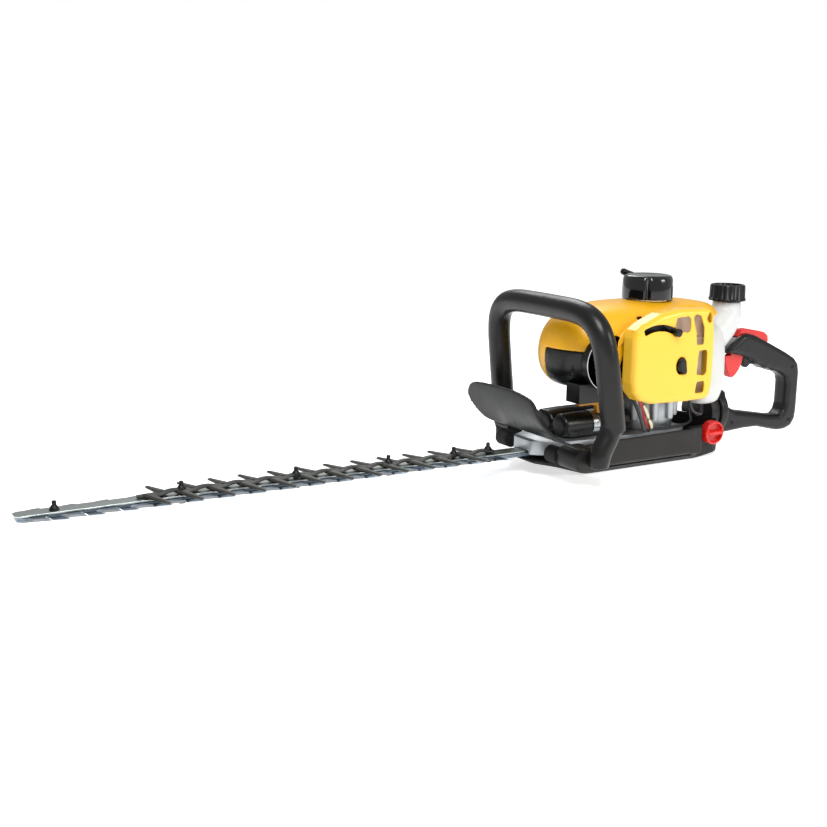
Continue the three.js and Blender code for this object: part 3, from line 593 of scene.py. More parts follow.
lean = 0.145  # forward for each mm of height
grip_radius = 14.5
leg_corners = [(68, 112.8), (90, 112.4), (130, 110.5), (160, 108), (183, 101), (198, 85), (204, 60),
               (205, 25)]
loop_corners = [(-145 - lean * (z - 100), -y, z) for z, y in leg_corners]
loop_corners += [(x, -y, z) for x, y, z in reversed(loop_corners)]
bm = bmesh.new()
tube(bm, smooth_path(loop_corners, 6), grip_radius, lie=(1, 0, 0))
foot_stations = [  # z, middle in x, half length, half width
    (27, -160, 11.5, 13), (33, -160, 12.5, 14), (42, -158, 13.5, 14), (54, -152, 14.8, 14),
    (66, -145, 14.6, 14), (76, -141.6, 14.5, 14),
]
for side in (-1, 1):
    foot_rings = []
    for z, middle, half, wide in foot_stations:
        # The right foot tucks in under the grip.
        tuck = max(0, 62 - z) * 0.85 if side > 0 else 0
        middle += 7 if side > 0 and z < 60 else 0
        foot_rings.append([(middle + half * math.cos(a), side * (112.5 - tuck + wide * 0.9 * math.sin(a)), z)
                           for a in [2 * math.pi * k / 32 for k in range(32)]])
    loft(bm, foot_rings)
    if side < 0:
        turned(bm, [(11.5, side * 98.9), (11.5, side * 112)], (-157, 0, 36), "y", 24)
front_handle = moulded("front_handle_grip", bm, handle_nylon, 1.6, 8)
keep(front_handle, "root", ["front_handle"])

# ---- Handle blocks and dampers -------------------------------------------------------------------
# Each foot is bolted to a nylon block, and a ribbed rubber damper between block and gear case
# keeps the blades' shake out of the grip.
# Nitrile rubber: dull black, with almost no highlight.
bellows_rubber = finish("moulded_nitrile_rubber", "#161615", "#0f0f0f", 0, 0.66, 0.6, 0.05)
bellows_radius = 9.2
bellows_depth = 1.3
bellows_folds = 5
bellows_steps = 48


def plain(name, bm, paint, angle=38):
    """A piece that keeps the edges it is drawn with."""
    made = from_bmesh(name, bm)
    made.data.materials.append(paint)
    return settle(made, angle)


for word in ("left", "right"):
    eased_copy(f"handle_block_{word}", f"handle_block_{word}_moulding", tray_nylon, 1.0, 2)
    if word == "right":
        for vertex in scene.objects["handle_block_right_moulding"].data.vertices:
            vertex.co.x = max(vertex.co.x, -168 * mm)
            vertex.co.y = min(vertex.co.y, 88 * mm)
    low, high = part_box(f"damper_{word}")
    middle = (low + high) / 2 / mm
    length = (high.y - low.y) / mm
    bm = bmesh.new()
    profile = []
    for k in range(bellows_steps + 1):
        along = -length / 2 + length * k / bellows_steps
        fold = math.cos(2 * math.pi * bellows_folds * k / bellows_steps)
        profile.append((bellows_radius + bellows_depth * fold, along))
    turned(bm, profile, (middle.x, middle.y, middle.z), "y", 48)
    damper = plain(f"damper_{word}_bellows", bm, bellows_rubber, 50)
    keep(damper, "root", [f"damper_{word}"])

# ---- Hand shield ---------------------------------------------------------------------------------
# A cupped leaf of thin nylon between the front grip and the blades, with three stiffening ribs at
# its foot. It sweeps down to a tongue on the left.
# Thin nylon with a fine mould grain: a soft grey sheen along its curve.
shield_nylon = finish("fine_grained_nylon_shield", "#1a1c1b", "#131413", 0, 0.38, 0.6, 0.03, ior=1.4)
shield_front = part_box("hand_shield")[0].x / mm
shield_top = [(113.5, 84), (110, 91), (103, 95.5), (91, 98), (56, 100), (19, 100), (-4, 98), (-23, 94),
              (-34, 86), (-44, 76), (-56, 68), (-73, 61), (-92, 57.5), (-114, 56)]
shield_foot = [(113.5, 80), (109, 72), (102, 65), (92, 57.4), (78, 51), (50, 48.2), (20, 48.2),
               (-4, 48.2), (-22, 48.4), (-40, 48.6), (-60, 48.8), (-82, 49), (-100, 49.2), (-114, 50)]
shield_wall = 2.8
top_path = smooth_path([(0, y, z) for y, z in shield_top], 5)
foot_path = smooth_path([(0, y, z) for y, z in shield_foot], 5)
layers = []
for depth in (0, shield_wall):
    rows = []
    for top_point, foot_point in zip(top_path, foot_path):
        row = []
        for k in range(13):
            t = k / 12
            point = foot_point.lerp(top_point, t)
            edge = min(1, max(0, (112 - point.y) / 60))
            cup = (16 * (1 - t) ** 1.6 - 3 * math.sin(math.pi * t)) * edge
            rim = 1.6 * (1 - min(1, min(t, 1 - t) / 0.07))
            x = shield_front + 2 + cup + (depth if depth == 0 else depth + rim)
            row.append((x, point.y, point.z + depth * 0.4 * (1 - t)))
        rows.append(row)
    layers.append(rows)
bm = bmesh.new()
loft(bm, [outer + list(reversed(inner)) for outer, inner in zip(*layers)])
for y in (-22, 22, 62):
    loft(bm, [[(shield_front + 17 - 13 * t + a * (1 - 0.7 * t), y + 8 * t + b, 51 + 26 * t) for a, b in
               ((-3, -1.8), (3, -1.8), (3, 1.8), (-3, 1.8))] for t in (0, 0.5, 1)])
shield = moulded("hand_shield_leaf", bm, shield_nylon, 1.2, 4)
keep(shield, "root", ["hand_shield"])

# ---- Engine shroud -------------------------------------------------------------------------------
# The big yellow top cover, moulded in ABS: an egg-shaped nose over the cylinder that widens into
# the fan cover. It is thin-walled, open below, and has holes for the starter and the muffler.
# Warm yellow ABS with a slight coat: broad, soft highlights and a faint ripple.
yellow_abs = finish("moulded_yellow_abs", "#f2b411", "#eaa90c", 0, 0.33, 0.9, 0.012, cloud=14, spread=0.08,
                    coat=0.12)
shroud_stations = [  # x, half width, top, underside
    (-156, 4, 146, 138), (-153, 19, 162, 123), (-147, 32, 176, 113), (-134, 44, 190, 105),
    (-112, 53, 199, 101), (-85, 60, 203.5, 99), (-50, 64.5, 205.5, 98), (0, 65, 205.8, 98),
    (50, 62, 204.5, 98), (78, 53, 201.5, 98), (92, 40, 198, 98), (98, 20, 193, 98),
]


def egg(bm, thin):
    """The egg as a closed body, with its skin moved in by thin."""
    rings = []
    path = smooth_path([(x, w, t) for x, w, t, b in shroud_stations], 4)
    floor_path = smooth_path([(x, w, b) for x, w, t, b in shroud_stations], 4)
    for top_point, low_point in zip(path, floor_path):
        half = max(1.5, top_point.y - thin)
        middle = (top_point.z + low_point.z) / 2
        tall = max(1.5, (top_point.z - low_point.z) / 2 - thin)
        blunt = 2 / (2.1 + 0.9 * min(1, max(0, (top_point.x + 150) / 90)))
        x = top_point.x + (thin if top_point.x < 0 else -thin) * (1 if abs(top_point.x - 20) > 70 else 0)
        ring = []
        for k in range(72):
            a = 2 * math.pi * k / 72
            ring.append((x, half * math.copysign(abs(math.cos(a)) ** blunt, math.cos(a)),
                         middle + tall * math.copysign(abs(math.sin(a)) ** blunt, math.sin(a))))
        rings.append(ring)
    loft(bm, rings)


wall = 2.6
nose_split = [(-170, 90), (-92, 90), (-92, 150), (-170, 153)]
bm = bmesh.new()
egg(bm, 0)
bead_corners = [(-90, -57, 158), (-84, -60.5, 171), (-66, -62.5, 185), (-40, -63, 194), (0, -62, 200.5),
                (34, -58, 202)]
tube(bm, smooth_path(bead_corners, 4), [1.5] + [3.4] * 19 + [1.5], 16)
cuts = bmesh.new()
egg(cuts, wall)
prism(cuts, [(-92, 80), (-92, 108), (-84, 157), (-40, 175), (60, 184), (130, 190), (130, 80)], -90, 90, "y")
prism(cuts, nose_split, -80, 5.7, "y")
prism(cuts, [(-85, 100), (-24, 100), (-24, 186), (-85, 186)], 34, 95, "y")
turned(cuts, [(25.5, 188), (25.5, 230)], (0, 0, 0))
turned(cuts, [(4.6, -80), (4.6, -52)], (-58, 0, 192), "y")
shroud = moulded("engine_shroud_cover", bm, yellow_abs, 1.1, 5, cuts)
keep(shroud, "root", ["engine_shroud"])

# ---- Nose cover ----------------------------------------------------------------------------------
# The lower left quarter of the nose is a black moulding with a cooling slot, a round recess with a
# bright ring and a square duct below.
# Satin nylon: a deep black that takes clear but soft reflections.
cover_nylon = finish("satin_black_nylon_cover", "#101110", "#0b0c0b", 0, 0.32, 0.6, 0.02, ior=1.4)
bm = bmesh.new()
egg(bm, 0)
cuts = bmesh.new()
egg(cuts, wall)
prism(cuts, [(-92, 60), (-92, 240), (140, 240), (140, 60)], -95, 95, "y")
prism(cuts, [(-170, 152.7), (-92, 149.7), (-80, 240), (-170, 240)], -95, 95, "y")
prism(cuts, [(-170, 60), (-80, 60), (-80, 240), (-170, 240)], 6, 95, "y")
loft(cuts, [[(-142.5, -70, 122), (-139.5, -70, 122), (-139.5, -30, 122), (-142.5, -30, 122)],
            [(-145.5, -70, 139), (-142.5, -70, 139), (-142.5, -36.4, 139), (-145.5, -36.4, 139)]])
nose_cover = moulded("nose_cover_moulding", bm, cover_nylon, 1.1, 4, cuts)
bm = bmesh.new()
prism(bm, [(-140, 88), (-94, 88), (-94, 112), (-140, 112)], -46, -20, "y")
cuts = bmesh.new()
prism(cuts, [(-136, 84), (-98, 84), (-98, 108), (-136, 108)], -42, -24, "y")
duct = moulded("nose_duct", bm, cover_nylon, 1.0, 3, cuts)
keep(nose_cover, "root", ["cylinder_cover_lower"])
keep(duct, "root", [])
# Anodised aluminium: a thin bright line round the recess.
ring_metal = finish("bright_anodised_ring", "#c9ccce", "#aeb2b5", 1, 0.25, 0.4, 0.01)
recess_middle = (-105, 0, 138)
bm = bmesh.new()
turned(bm, [(33.5, -58), (34.3, -58), (34.3, -57.2), (33.5, -57.2), (33.5, -58)], recess_middle, "y", 72)
recess_ring = plain("recess_ring", bm, ring_metal)
keep(recess_ring, "root", [])
bm = bmesh.new()
turned(bm, [(33.4, -46), (33.4, -57.4), (30, -57.4), (27, -51), (19, -50), (17, -53), (13, -53),
            (11, -50), (1, -50), (1, -46), (33.4, -46)], recess_middle, "y", 64)
recess = plain("recess_boss", bm, cover_nylon)
keep(recess, "root", [])

# ---- Side cover ----------------------------------------------------------------------------------
# A deep yellow cover over the carburettor and air filter, with rounded rims and cooling windows,
# a curved slot for the choke lever and a pear-shaped hole for the filter's knob.
# The shroud's yellow ABS, painted brighter and cleaner as painted light on the cover's lit face, same soft
# gloss.
lit_face_yellow_abs = finish("moulded_bright_yellow_abs", "#f7c33a", "#f3bb30", 0, 0.3, 0.9, 0.012, cloud=12,
                  spread=0.06, coat=0.12)
cover_low, cover_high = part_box("air_cleaner_cover")
cover_face, cover_back = cover_low.y / mm, cover_high.y / mm
cover_outline = [(-93, 116), (-90, 104), (-80, 94), (-60, 88.5), (-10, 87), (28, 88), (34, 93),
                 (37, 110), (37, 168), (33, 196), (26, 202), (-20, 203.5), (-52, 199), (-78, 188),
                 (-90, 180), (-93, 170)]


def shrunk(outline, by, centre):
    """The outline drawn in towards a centre by about by mm."""
    made = []
    for a, b in outline:
        away = Vector((a - centre[0], b - centre[1]))
        away *= 1 - by / away.length
        made.append((centre[0] + away.x, centre[1] + away.y))
    return made


cover_centre = (-28, 145)
bm = bmesh.new()
loft(bm, [[(a, y, b) for a, b in shrunk(cover_outline, by, cover_centre)]
          for by, y in [(0, cover_back), (0, cover_face + 7), (0.8, cover_face + 4), (2.6, cover_face + 1.5),
                        (6, cover_face)]])
cuts = bmesh.new()
loft(cuts, [[(a, y, b) for a, b in shrunk(cover_outline, by, cover_centre)]
            for by, y in [(3.2, cover_back + 6), (3.2, cover_face + 7), (8, cover_face + 3)]])
windows = [
    [(-32, 177), (-29, 193), (-10, 194), (-6, 190), (-6, 176), (-10, 174.5)],
    [(-2, 192), (2, 196), (10, 194), (17, 178), (17, 158), (6, 158), (4, 174)],
    [(20, 190), (24, 198), (29, 196), (30, 186), (24, 184)],
    [(8, 121), (10, 150), (22, 151), (24, 147), (24, 122), (20, 119)],
    [(7, 99), (9, 111), (20, 112), (22, 108), (21, 98), (9, 97)],
]
for window in windows:
    prism(cuts, window, cover_face - 6, cover_face + 12, "y")
pivot = (-56, 129)
slot_angles = [math.radians(a) for a in range(56, 118, 5)]
slot_ring = [(pivot[0] + 57 * math.cos(a), pivot[1] + 57 * math.sin(a)) for a in slot_angles]
slot_ring += [(pivot[0] + 49.5 * math.cos(a), pivot[1] + 49.5 * math.sin(a)) for a in reversed(slot_angles)]
prism(cuts, slot_ring, cover_face - 6, cover_face + 12, "y")
pear = [(-18 + 8.4 * math.cos(a), 133.5 + 10.8 * math.sin(a))
        for a in [2 * math.pi * k / 24 for k in range(24)]]
prism(cuts, pear, cover_face - 6, cover_face + 12, "y")
side_cover = moulded("side_cover_moulding", bm, lit_face_yellow_abs, 0.95, 4, cuts)
keep(side_cover, "root", ["air_cleaner_cover"])

eased_copy("choke_lever", "choke_lever_arm", cover_nylon, 0.6, 2, "choke")
bm = bmesh.new()
seal_angles = [math.radians(a) for a in range(50, 126, 5)]
prism(bm, [(pivot[0] + 61 * math.cos(a), pivot[1] + 61 * math.sin(a)) for a in seal_angles]
      + [(pivot[0] + 45 * math.cos(a), pivot[1] + 45 * math.sin(a)) for a in reversed(seal_angles)],
      -79.5, -78, "y")
prism(bm, [(-30, 120), (-6, 120), (-6, 148), (-30, 148)], -80.2, -79, "y")
seal = moulded("choke_slot_seal", bm, cover_nylon, 0.8, 2)
keep(seal, "root", [])
# A warm grey-beige sheet behind the vents, in the tone of the milky tank wall in shadow: painted shade.
vent_shade_tone = finish("natural_filter_housing", "#cdb9a6", "#bda793", 0, 0.5, 0.9, 0.02)
bm = bmesh.new()
# The sheet behind the windows carries painted shade, the shaded tank wall seen through them.
prism(bm, [(-38, 167), (30, 167), (29, 194), (-8, 196), (-38, 193)], -77, -69, "y")
prism(bm, [(2, 92), (30, 92), (30, 111), (2, 111)], -77, -70, "y")
vent_backing = moulded("filter_housing_lid", bm, vent_shade_tone, 1.0, 4)
keep(vent_backing, "root", [])
knob_low, knob_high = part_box("cover_knob")
bm = bmesh.new()
turned(bm, [(2.4, knob_high.y / mm), (2.4, knob_low.y / mm + 5), (7, knob_low.y / mm + 5),
            (7, knob_low.y / mm + 3.4), (2, knob_low.y / mm + 3.4)], (-18, 0, 133), "y", 40)
wing = [(-25, 136), (-24, 141), (-20.5, 144), (-16, 143.4), (-13, 139.4), (-12.2, 133), (-10.8, 126),
        (-13, 122.6), (-16.6, 123), (-19.4, 127), (-23, 130.4)]
loft(bm, [[(a, y, b) for a, b in shrunk(wing, by, (-18, 134))]
          for by, y in [(0, knob_low.y / mm + 4), (0.4, knob_low.y / mm + 1), (2.4, knob_low.y / mm)]])
knob = moulded("cover_knob_wing", bm, cover_nylon, 0.5, 4)
keep(knob, "filter_knob", ["cover_knob"])

# ---- Recoil starter ------------------------------------------------------------------------------
# A polished black dome over the rope reel, fluted at the front, with a cord hole at the back where
# the short bar grip rests.
# Polished ABS: mirror-like black, with sharp reflections of the lamps.
dome_gloss = finish("polished_black_abs", "#0c0c0d", "#08080a", 0, 0.12, 1.4, 0.004, cloud=8, spread=0.04,
                    coat=0.5)
dome_low, dome_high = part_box("starter_dome")
dome_radius = (dome_high.x - dome_low.x) / 2 / mm
dome_foot, dome_top = dome_low.z / mm, dome_high.z / mm
flute_turn = math.radians(229)


def flute(i, height):
    """Draws the wall in along one upright groove."""
    off = (2 * math.pi * i / 180 - flute_turn + math.pi) % (2 * math.pi) - math.pi
    ridge = 0.9 * math.exp(-((abs(off) - 0.15) / 0.05) ** 2)
    return ridge - 2.8 * math.exp(-(off / 0.07) ** 2) if height < dome_top - 3 else 0


bm = bmesh.new()
turned(bm, [(dome_radius, dome_foot), (dome_radius, dome_foot + 10), (dome_radius - 0.8, dome_top - 6),
            (dome_radius - 2, dome_top - 2.4), (dome_radius - 3.6, dome_top - 0.6),
            (dome_radius - 6, dome_top), (dome_radius - 9, dome_top - 0.8), (6, dome_top - 1),
            (0.5, dome_top - 1), (0.5, dome_foot + 22),
            (26, dome_foot + 22), (28, dome_foot + 18), (28, dome_foot)], (0, 0, 0), sides=180, rib=flute)
dome = plain("starter_dome_moulding", bm, dome_gloss, 50)
keep(dome, "root", ["starter_dome"])
grip_low, grip_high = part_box("starter_grip")
grip_middle = (grip_low + grip_high) / 2 / mm
grip_reach = (grip_high.x - grip_low.x) / 2 / mm - 1
grip_path = [(grip_middle.x + grip_reach * t, grip_middle.y, grip_middle.z - 7.5 * t) for t in
             (-1, -0.9, -0.5, -0.2, 0.2, 0.5, 0.9, 1)]
bm = bmesh.new()
tube(bm, grip_path, [3.4, 4.3, 4.4, 5.0, 5.0, 4.4, 4.3, 3.4], 28)
grip = moulded("starter_grip_bar", bm, cover_nylon, 0.6, 3)
keep(grip, "starter_handle", ["starter_grip"])

# ---- Fuel tank and cap ---------------------------------------------------------------------------
# The tank is blow-moulded in milky polythene, so its walls are soft and rounded and let a little
# light in. The black cap is knurled with broad ribs and recessed on top.
# Polythene: milky, waxy and slightly glowing, because light enters its wall.
milky_poly = finish("blow_moulded_polythene", "#d3d4d2", "#cacbc9", 0, 0.36, 1.2, 0.02, cloud=20, spread=0.1)
tank_shader = milky_poly.node_tree.nodes["Principled BSDF"]
tank_shader.inputs["Subsurface Weight"].default_value = 0.3
tank_shader.inputs["Subsurface Radius"].default_value = (0.006, 0.006, 0.005)
tank_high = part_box("fuel_tank")[1]
cap_low, cap_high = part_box("fuel_cap")
cap_x = (cap_low.x + cap_high.x) / 2 / mm


def slab_ring(x0, x1, y0, y1, z, blunt=0.55, sides=48):
    """A level section with blunt round corners."""
    middle, half = ((x0 + x1) / 2, (y0 + y1) / 2), ((x1 - x0) / 2, (y1 - y0) / 2)
    return [(middle[0] + half[0] * math.copysign(abs(math.cos(a)) ** blunt, math.cos(a)),
             middle[1] + half[1] * math.copysign(abs(math.sin(a)) ** blunt, math.sin(a)), z)
            for a in [2 * math.pi * k / sides for k in range(sides)]]


bm = bmesh.new()
loft(bm, [slab_ring(*section) for section in [
    (52, 82, -50, 44, 71.5), (46, 88, -58, 50, 76), (44.5, 91, -61, 53, 86), (44.5, 95, -61, 53, 97),
    (44.5, 97, -60, 53, 110), (44.5, 99, -58, 52, 122), (45, 105, -52, 48, 136), (48, 110, -44, 42, 150),
    (56, 112, -32, 32, 164), (66, 104, -22, 24, 172)]])
neck_path = smooth_path([(88, 0, 128), (104, 0, 142), (119, 0, 155), (131, 0, 167), (cap_x - 1, 0, 180),
                         (cap_x, 0, tank_high.z / mm)], 4)
tube(bm, neck_path, [24] * 12 + [23.6, 23, 22.6, 22, 21.4, 20.4, 19.4, 19, 19], 40, 1.0, (0, 1, 0))
tank = moulded("fuel_tank_shell", bm, milky_poly, 1.6, 14)
keep(tank, "root", ["fuel_tank"])

bm = bmesh.new()
cap_foot, cap_top = cap_low.z / mm, cap_high.z / mm
cap_radius = (cap_high.x - cap_low.x) / 2 / mm


def knurl(i, height):
    """Sixteen broad ribs round the cap's wall."""
    return 0.9 * abs(math.cos(math.pi * i * 16 / 192)) - 0.5 if cap_foot + 3 < height < cap_top - 1 else 0


turned(bm, [(20, cap_foot), (cap_radius, cap_foot), (cap_radius, cap_foot + 2.6),
            (cap_radius - 1.4, cap_foot + 4), (cap_radius - 1.8, cap_top - 2), (cap_radius - 2.6, cap_top),
            (cap_radius - 6, cap_top),
            (cap_radius - 7, cap_top - 3.5), (1, cap_top - 3.5), (1, cap_foot + 3), (20, cap_foot + 2.8)],
       (cap_x, 0, 0), sides=192, rib=knurl)
cap = plain("fuel_cap_knurled", bm, cover_nylon, 45)
keep(cap, "cap", ["fuel_cap"])

# ---- Rear handle ---------------------------------------------------------------------------------
# Two nylon half shells screwed together round the throttle, with finger waves under the grip. Its
# round flange turns on the swivel mount.
# Nylon like the front grip's, a little rougher because it is a separate moulding.
grip_nylon = finish("semi_matt_nylon_rear_grip", "#0f0f10", "#0a0a0b", 0, 0.38, 0.6, 0.03, coat=0.04,
                    ior=1.38)
grip_outline = [
    (125, 20), (144, 17.5), (176, 19.5), (205, 19.5), (226, 14.5), (244, 10.5), (258, 10.5), (270, 14.5),
    (277, 24), (279, 38), (279, 92), (276, 104), (268, 112.5), (252, 121), (218, 136.5), (190, 148.5),
    (176, 152), (165, 151), (150, 140), (138, 130), (136.5, 127), (150, 124.5), (165, 121.5), (177, 118),
    (185, 114), (190, 108), (197, 106.5), (204, 104.5), (211, 100.5), (219, 100), (227, 96), (236, 94.5),
    (245, 91), (252, 86), (254.5, 78), (254.5, 48), (252, 39), (246, 33), (230, 34), (208, 38), (180, 43),
    (160, 46.5), (148, 53), (143, 62), (139, 76), (125, 80),
]


def inset(outline, by):
    """The outline moved in by so many mm all round."""
    points = [Vector(point) for point in outline]
    area = sum(a.x * b.y - b.x * a.y for a, b in zip(points, points[1:] + points[:1]))
    turn = 1 if area > 0 else -1
    made = []
    for i, point in enumerate(points):
        along = (points[(i + 1) % len(points)] - points[i - 1]).normalized()
        made.append(point + Vector((-along.y, along.x)) * by * turn)
    return made


half_width = 13.5
round_steps = [(-half_width, 6.5), (-12.7, 3.8), (-11.4, 2.0), (-9, 0.7), (-5.5, 0)]
bm = bmesh.new()
loft(bm, [[(a, y, b) for a, b in inset(grip_outline, by)]
          for y, by in round_steps + [(-y, by) for y, by in reversed(round_steps)]])
prism(bm, [(174, 124), (190, 118), (188, 106), (183, 103), (179, 104), (176, 110)], -4, 4, "y")
turned(bm, [(33, 113.4), (33, 126)], (0, 0, 50), "x", 64)
cuts = bmesh.new()
turned(cuts, [(8, 100), (8, 140)], (0, 0, 50), "x", 32)
prism(cuts, [(134, 100), (174, 100), (174, 142), (160, 142), (138, 125)], -6, 6, "y")
prism(cuts, [(160, 141), (223, 123), (223, 172), (160, 172)], -6, 6, "y")
whole = moulded("rear_handle_whole", bm, grip_nylon, 1.1, 7, cuts)
for word, side in (("left", -1), ("right", 1)):
    half = shown(f"rear_handle_{word}_shell", whole.data.copy())
    bm = bmesh.new()
    seam, far = side * 0.15, -side * 60
    prism(bm, [(100, -20), (300, -20), (300, 180), (100, 180)], min(seam, far), max(seam, far), "y")
    other = from_bmesh("other_half", bm)
    carve(half, other, 50)
    keep(half, "rear_handle", [f"rear_handle_{word}"])
bpy.data.objects.remove(whole)

bm = bmesh.new()
turned(bm, [(2.6, -0.3), (2.6, -0.9), (2.2, -1.2), (1.5, -1.2), (1.3, -0.5)], (0, 0, 0), "y", 20)
turned(bm, [(2.6, 0.2), (2.6, 0.9), (2.2, 1.2), (1.5, 1.2), (1.3, 0.5)], (0, 26, 0), "y", 20)
screw_places = [(152, -13, 31), (262, -13, 25), (262, -13, 100)]
handle_screws = fitted("rear_handle_screws", bm, screw_places, bolt_steel)
keep(handle_screws, "rear_handle", [])

# ---- Trigger, lockout, stop switch and lock knob -------------------------------------------------
# The controls are moulded in red ABS, slightly glossy, with rims worn smooth by fingers.
# Signal-red ABS: even colour, with crisp highlights along the rims.
red_abs = finish("moulded_red_abs", "#d81d14", "#c81810", 0, 0.3, 0.8, 0.01, cloud=30, spread=0.08,
                 coat=0.15)
for node, body, outline in [
    ("throttle_trigger", "trigger",
     [(158, 134), (165, 135), (170, 129), (173.5, 120), (172.5, 114), (168, 103), (161, 95), (157, 92.3),
      (151, 92.3), (147.5, 98), (144.6, 105), (141, 114), (140.8, 122.5), (150, 123)]),
    ("throttle_lockout", "lockout",
     [(162.5, 147), (166, 157.6), (176, 158), (198, 154), (211, 151), (218, 146), (219.5, 138), (216, 135.5),
      (201, 142), (181, 148), (171, 144.5)]),
]:
    bm = bmesh.new()
    prism(bm, outline, -5, 5, "y")
    control = moulded(node + "_moulding", bm, red_abs, 0.6, 4)
    keep(control, body, [node])
eased_copy("stop_switch", "stop_switch_button", red_abs, 0.8, 3, "stop_button")
knob_low, knob_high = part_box("swivel_lock_knob")
lock_x, lock_z = (knob_low.x + knob_high.x) / 2 / mm, (knob_low.z + knob_high.z) / 2 / mm
lock_face, lock_back = knob_low.y / mm, knob_high.y / mm
bm = bmesh.new()
turned(bm, [(15.3, lock_back), (15.5, lock_face + 6.6), (14.8, lock_face + 5.4), (13.6, lock_face + 5),
            (4, lock_face + 5)], (lock_x, 0, lock_z), "y", 64)
prism(bm, [(lock_x - 13, lock_z - 1.2), (lock_x, lock_z - 2.6), (lock_x + 13, lock_z - 1.2),
           (lock_x + 13, lock_z + 1.2), (lock_x, lock_z + 2.6), (lock_x - 13, lock_z + 1.2)],
      lock_face + 3, lock_face + 9, "y")
cuts = bmesh.new()
for side in (-1, 1):
    half_disc = [(lock_x + 12 * math.cos(a), lock_z + side * (2.8 + 9.4 * abs(math.sin(a))))
                 for a in [math.pi * k / 16 for k in range(17)]]
    prism(cuts, half_disc, lock_face - 2, lock_face + 10.5, "y")
lock_knob = moulded("swivel_lock_knob_moulding", bm, red_abs, 0.6, 3, cuts)
keep(lock_knob, "lock_knob", ["swivel_lock_knob"])

# ---- Engine underneath ---------------------------------------------------------------------------
# What shows through the gaps: the sand-blasted crankcase, the clutch housing, the black cowl and
# the brackets round them.
for node, paint, radius, slot_name in [
    ("crankcase", cast_skin, 1.2, "cast_aluminium"), ("clutch_housing", cast_skin, 0.8, "cast_aluminium"),
    ("swivel_mount", tray_nylon, 0.8, "black_nylon"),
    ("muffler_guard", cover_nylon, 0.8, "black_nylon"), ("carburettor", cast_skin, 0.8, "cast_aluminium"),
    ("cylinder", cast_skin, 0.4, "cast_aluminium"), ("intake_block", cover_nylon, 0.8, "black_nylon"),
]:
    eased_copy(node, node + "_finished", paint, radius, 2)
bm = bmesh.new()
for y in (-15, 15):
    turned(bm, [(12, -146), (15.5, -143), (16.2, -118), (15.8, -90), (15.8, -44)], (0, y, 55.5), "x", 40)
prism(bm, [(-140, 43), (-44, 43), (-44, 58), (-140, 54)], -30, 30, "y")
turned(bm, [(8, -146), (9, -120), (9, -60), (7, -52)], (0, 22, 63), "x", 24)
cowl = moulded("case_cowl_moulding", bm, cover_nylon, 1.3, 6)
keep(cowl, "root", ["case_cowl"])
bm = bmesh.new()
turned(bm, [(16.1, -103), (17, -103), (17, -91), (16.1, -91), (16.1, -103)], (0, -15, 55.5), "x", 48)
clamp = plain("cowl_clamp_band", bm, screw_steel)
keep(clamp, "root", [])
bm = bmesh.new()
rail_corners = [(-150, 40, 50), (-138, 45, 57), (-100, 45, 58), (-72, 45, 61), (-62, 44, 52)]
tube(bm, smooth_path(rail_corners, 5), 4.2, 16, 0.8)
rail = moulded("far_rail", bm, tray_nylon, 1.0, 3)
keep(rail, "root", [])
bm = bmesh.new()
turned(bm, [(5, 56), (5.6, 60), (5.6, 80), (7.4, 82), (7.4, 88), (6.4, 89.6), (3.4, 89.6), (3, 87.5),
            (0.6, 87.5)], (0, 0, 0), sides=24)
boss_ring = 41
places = [(boss_ring * math.cos(math.radians(a)), boss_ring * math.sin(math.radians(a)), 0)
          for a in range(0, 360, 36)]
case_bosses = fitted("crankcase_bosses", bm, places, cast_skin)
keep(case_bosses, "root", [])

# ---- Wires, cable and hose -----------------------------------------------------------------------
# PVC-covered leads clipped along the frame, with plated bullet connectors, and an amber fuel hose.
# Each is held along its whole route. The stop wire is red up to where it goes under the engine;
# from there back it is painted black, as painted shade.
# Soft PVC, smooth and even, with one narrow highlight along each lead.
wire_red = finish("red_pvc_wire_cover", "#d6302f", "#bf2827", 0, 0.4, 0.6, 0.01)
cable_black = finish("black_pvc_cable_cover", "#222222", "#191919", 0, 0.45, 0.6, 0.01)
# Hose aged by fuel: a dull amber.
hose_amber = finish("amber_fuel_hose", "#d8cf9c", "#c9bf8a", 0, 0.3, 0.8, 0.01)
# Tin plating: bright with a slight yellow, as it wears.
plated = finish("tin_plated_brass", "#d3cdb6", "#b5ad93", 1, 0.3, 0.4, 0.02)
# Behind this x the red stop wire is painted black as painted shade.
painted_shade_from = -31
for node, name, paint, slot_name, radius, route in [
    ("throttle_cable", "throttle_cable_cover", cable_black, "black_nylon", 2.2,
     [(96.5, -16, 66), (91, -16, 66), (82, -26, 61), (60, -46, 58), (40, -52, 66), (30, -56, 84),
      (22, -63, 104), (14, -64, 118), (11.5, -63, 130)]),
    ("stop_wire", "stop_wire_cover", wire_red, "red_abs", 1.6,
     [(96.5, 4, 66), (90, 4, 62), (74, -14, 52), (56, -34, 47), (30, -46, 46.5), (0, -50, 46.5),
      (-30, -53, 50), (-44, -58, 62), (-56, -64, 82), (-66, -60, 98)]),
    ("fuel_hose", "fuel_hose_tube", hose_amber, "tank_poly", 2.4,
     [(43.6, -40, 100), (36, -41, 100), (20, -52, 102), (4, -58, 103), (-7, -60, 110), (-8, -60, 117)]),
]:
    bm = bmesh.new()
    tube(bm, smooth_path(route, 6), radius, 16)
    lead = plain(name, bm, paint, 60)
    # The stop wire's rear run, under the engine, takes the black cable finish as painted shade.
    if node == "stop_wire":
        lead.data.materials.append(cable_black)
        for face in lead.data.polygons:
            face.material_index = 1 if face.center.x > painted_shade_from * mm else 0
    keep(lead, "root", [node])
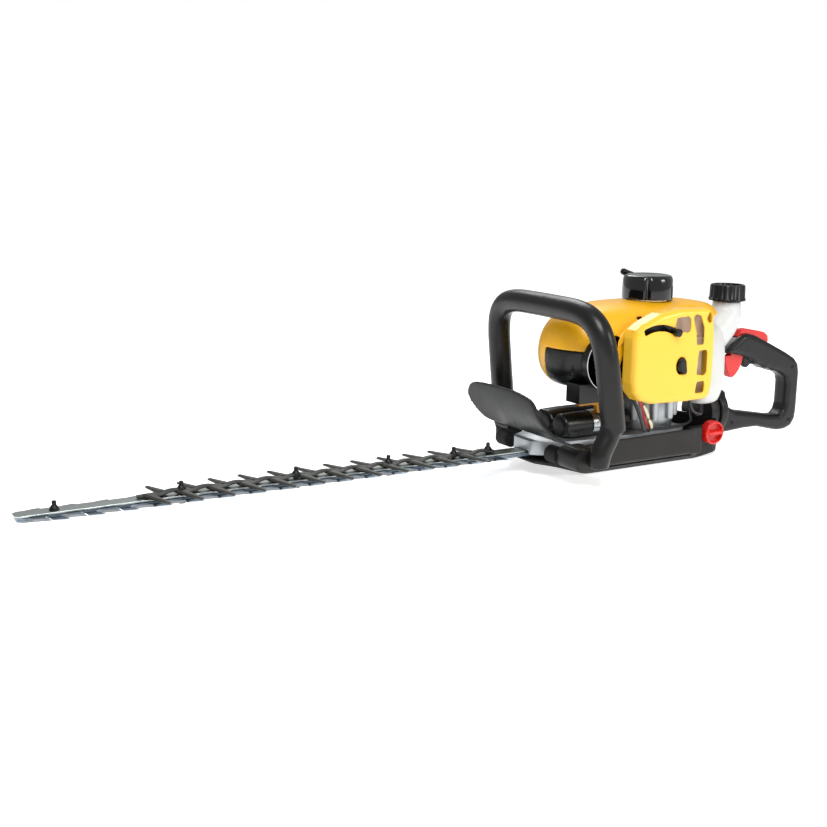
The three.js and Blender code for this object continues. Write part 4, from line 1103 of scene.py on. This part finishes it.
for name, route in [
    ("bullet_connector_front", [(-55, -66, 84), (-49, -65, 74), (-43, -63, 65)]),
    ("bullet_connector_rear", [(-42, -62.5, 64), (-37, -61, 57), (-33, -58, 50)]),
]:
    bm = bmesh.new()
    tube(bm, smooth_path(route, 4), [1.4, 2.5, 2.7, 2.7, 2.5, 2.7, 2.7, 2.4, 1.4], 16)
    connector = plain(name, bm, plated, 60)
    keep(connector, "root", [])
bm = bmesh.new()
sleeve_route = [(-74, -58, 99), (-66, -63, 86), (-54, -62, 64), (-44, -57, 50), (-30, -50, 46)]
tube(bm, smooth_path(sleeve_route, 6), 2.2, 16)
sleeve = plain("ignition_lead_sleeve", bm, cable_black, 60)
keep(sleeve, "root", [])

# ---- Lug and bead chain --------------------------------------------------------------------------
# A small orange-yellow lug moulded in ABS hangs under the nose, with a plated bead chain beside it.
# Deeper and more orange than the covers, because little light reaches it.
lug_abs = finish("moulded_orange_abs", "#e39a10", "#d18a0c", 0, 0.4, 0.9, 0.012)
bm = bmesh.new()
prism(bm, [(-122, 85), (-104, 86), (-97, 94), (-86, 96), (-86, 69), (-92, 67), (-95, 79), (-103, 80.5),
           (-122, 80)], -24, -17, "y")
lug = moulded("orange_lug", bm, lug_abs, 0.7, 4)
keep(lug, "root", [])
bm = bmesh.new()
bmesh.ops.create_icosphere(bm, subdivisions=2, radius=1.4 * mm)
bead_path = smooth_path([(-88, -30, 88), (-91, -31, 80), (-88, -31, 72), (-93, -31, 64), (-98, -31, 57)], 3)
chain = fitted("bead_chain", bm, [tuple(point) for point in bead_path], plated)
keep(chain, "root", [])

# ---- Inner works ---------------------------------------------------------------------------------
# Pieces that the covers hide stay as they are designed and take the finish of their own metal.
# Machined steel under a film of oil: grey and smooth.
drive_steel = finish("oiled_machined_steel", "#a9adb0", "#85898c", 1, 0.3, 0.3, 0.01)
# Pressed steel that heat has browned and dulled.
hot_steel = finish("heat_tinted_pressed_steel", "#8f8577", "#6d6358", 1, 0.45, 0.8, 0.03)
# Open foam: no gloss at all, and a coarse grain.
filter_foam = finish("open_cell_polyurethane_foam", "#c4b3a2", "#a8978a", 0, 0.95, 1.2, 0.5)
# Glazed ceramic: white and glassy.
glazed = finish("glazed_alumina", "#f2f1ec", "#e8e6df", 0, 0.12, 1.0, 0.005)
inner_paints = {
    "cam_gear": drive_steel, "upper_con_rod": drive_steel, "lower_con_rod": drive_steel,
    "clutch_drum": drive_steel, "lower_crank_half": drive_steel, "upper_crank_half": drive_steel,
    "connecting_rod": drive_steel, "piston": cast_skin, "flywheel": cast_skin, "muffler": hot_steel,
    "air_filter": filter_foam, "spark_plug": glazed, "plug_boot": bellows_rubber,
    "ignition_coil": cover_nylon, "starter_pulley": cover_nylon,
}
for node, paint in inner_paints.items():
    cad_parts[node].data.materials[0] = paint
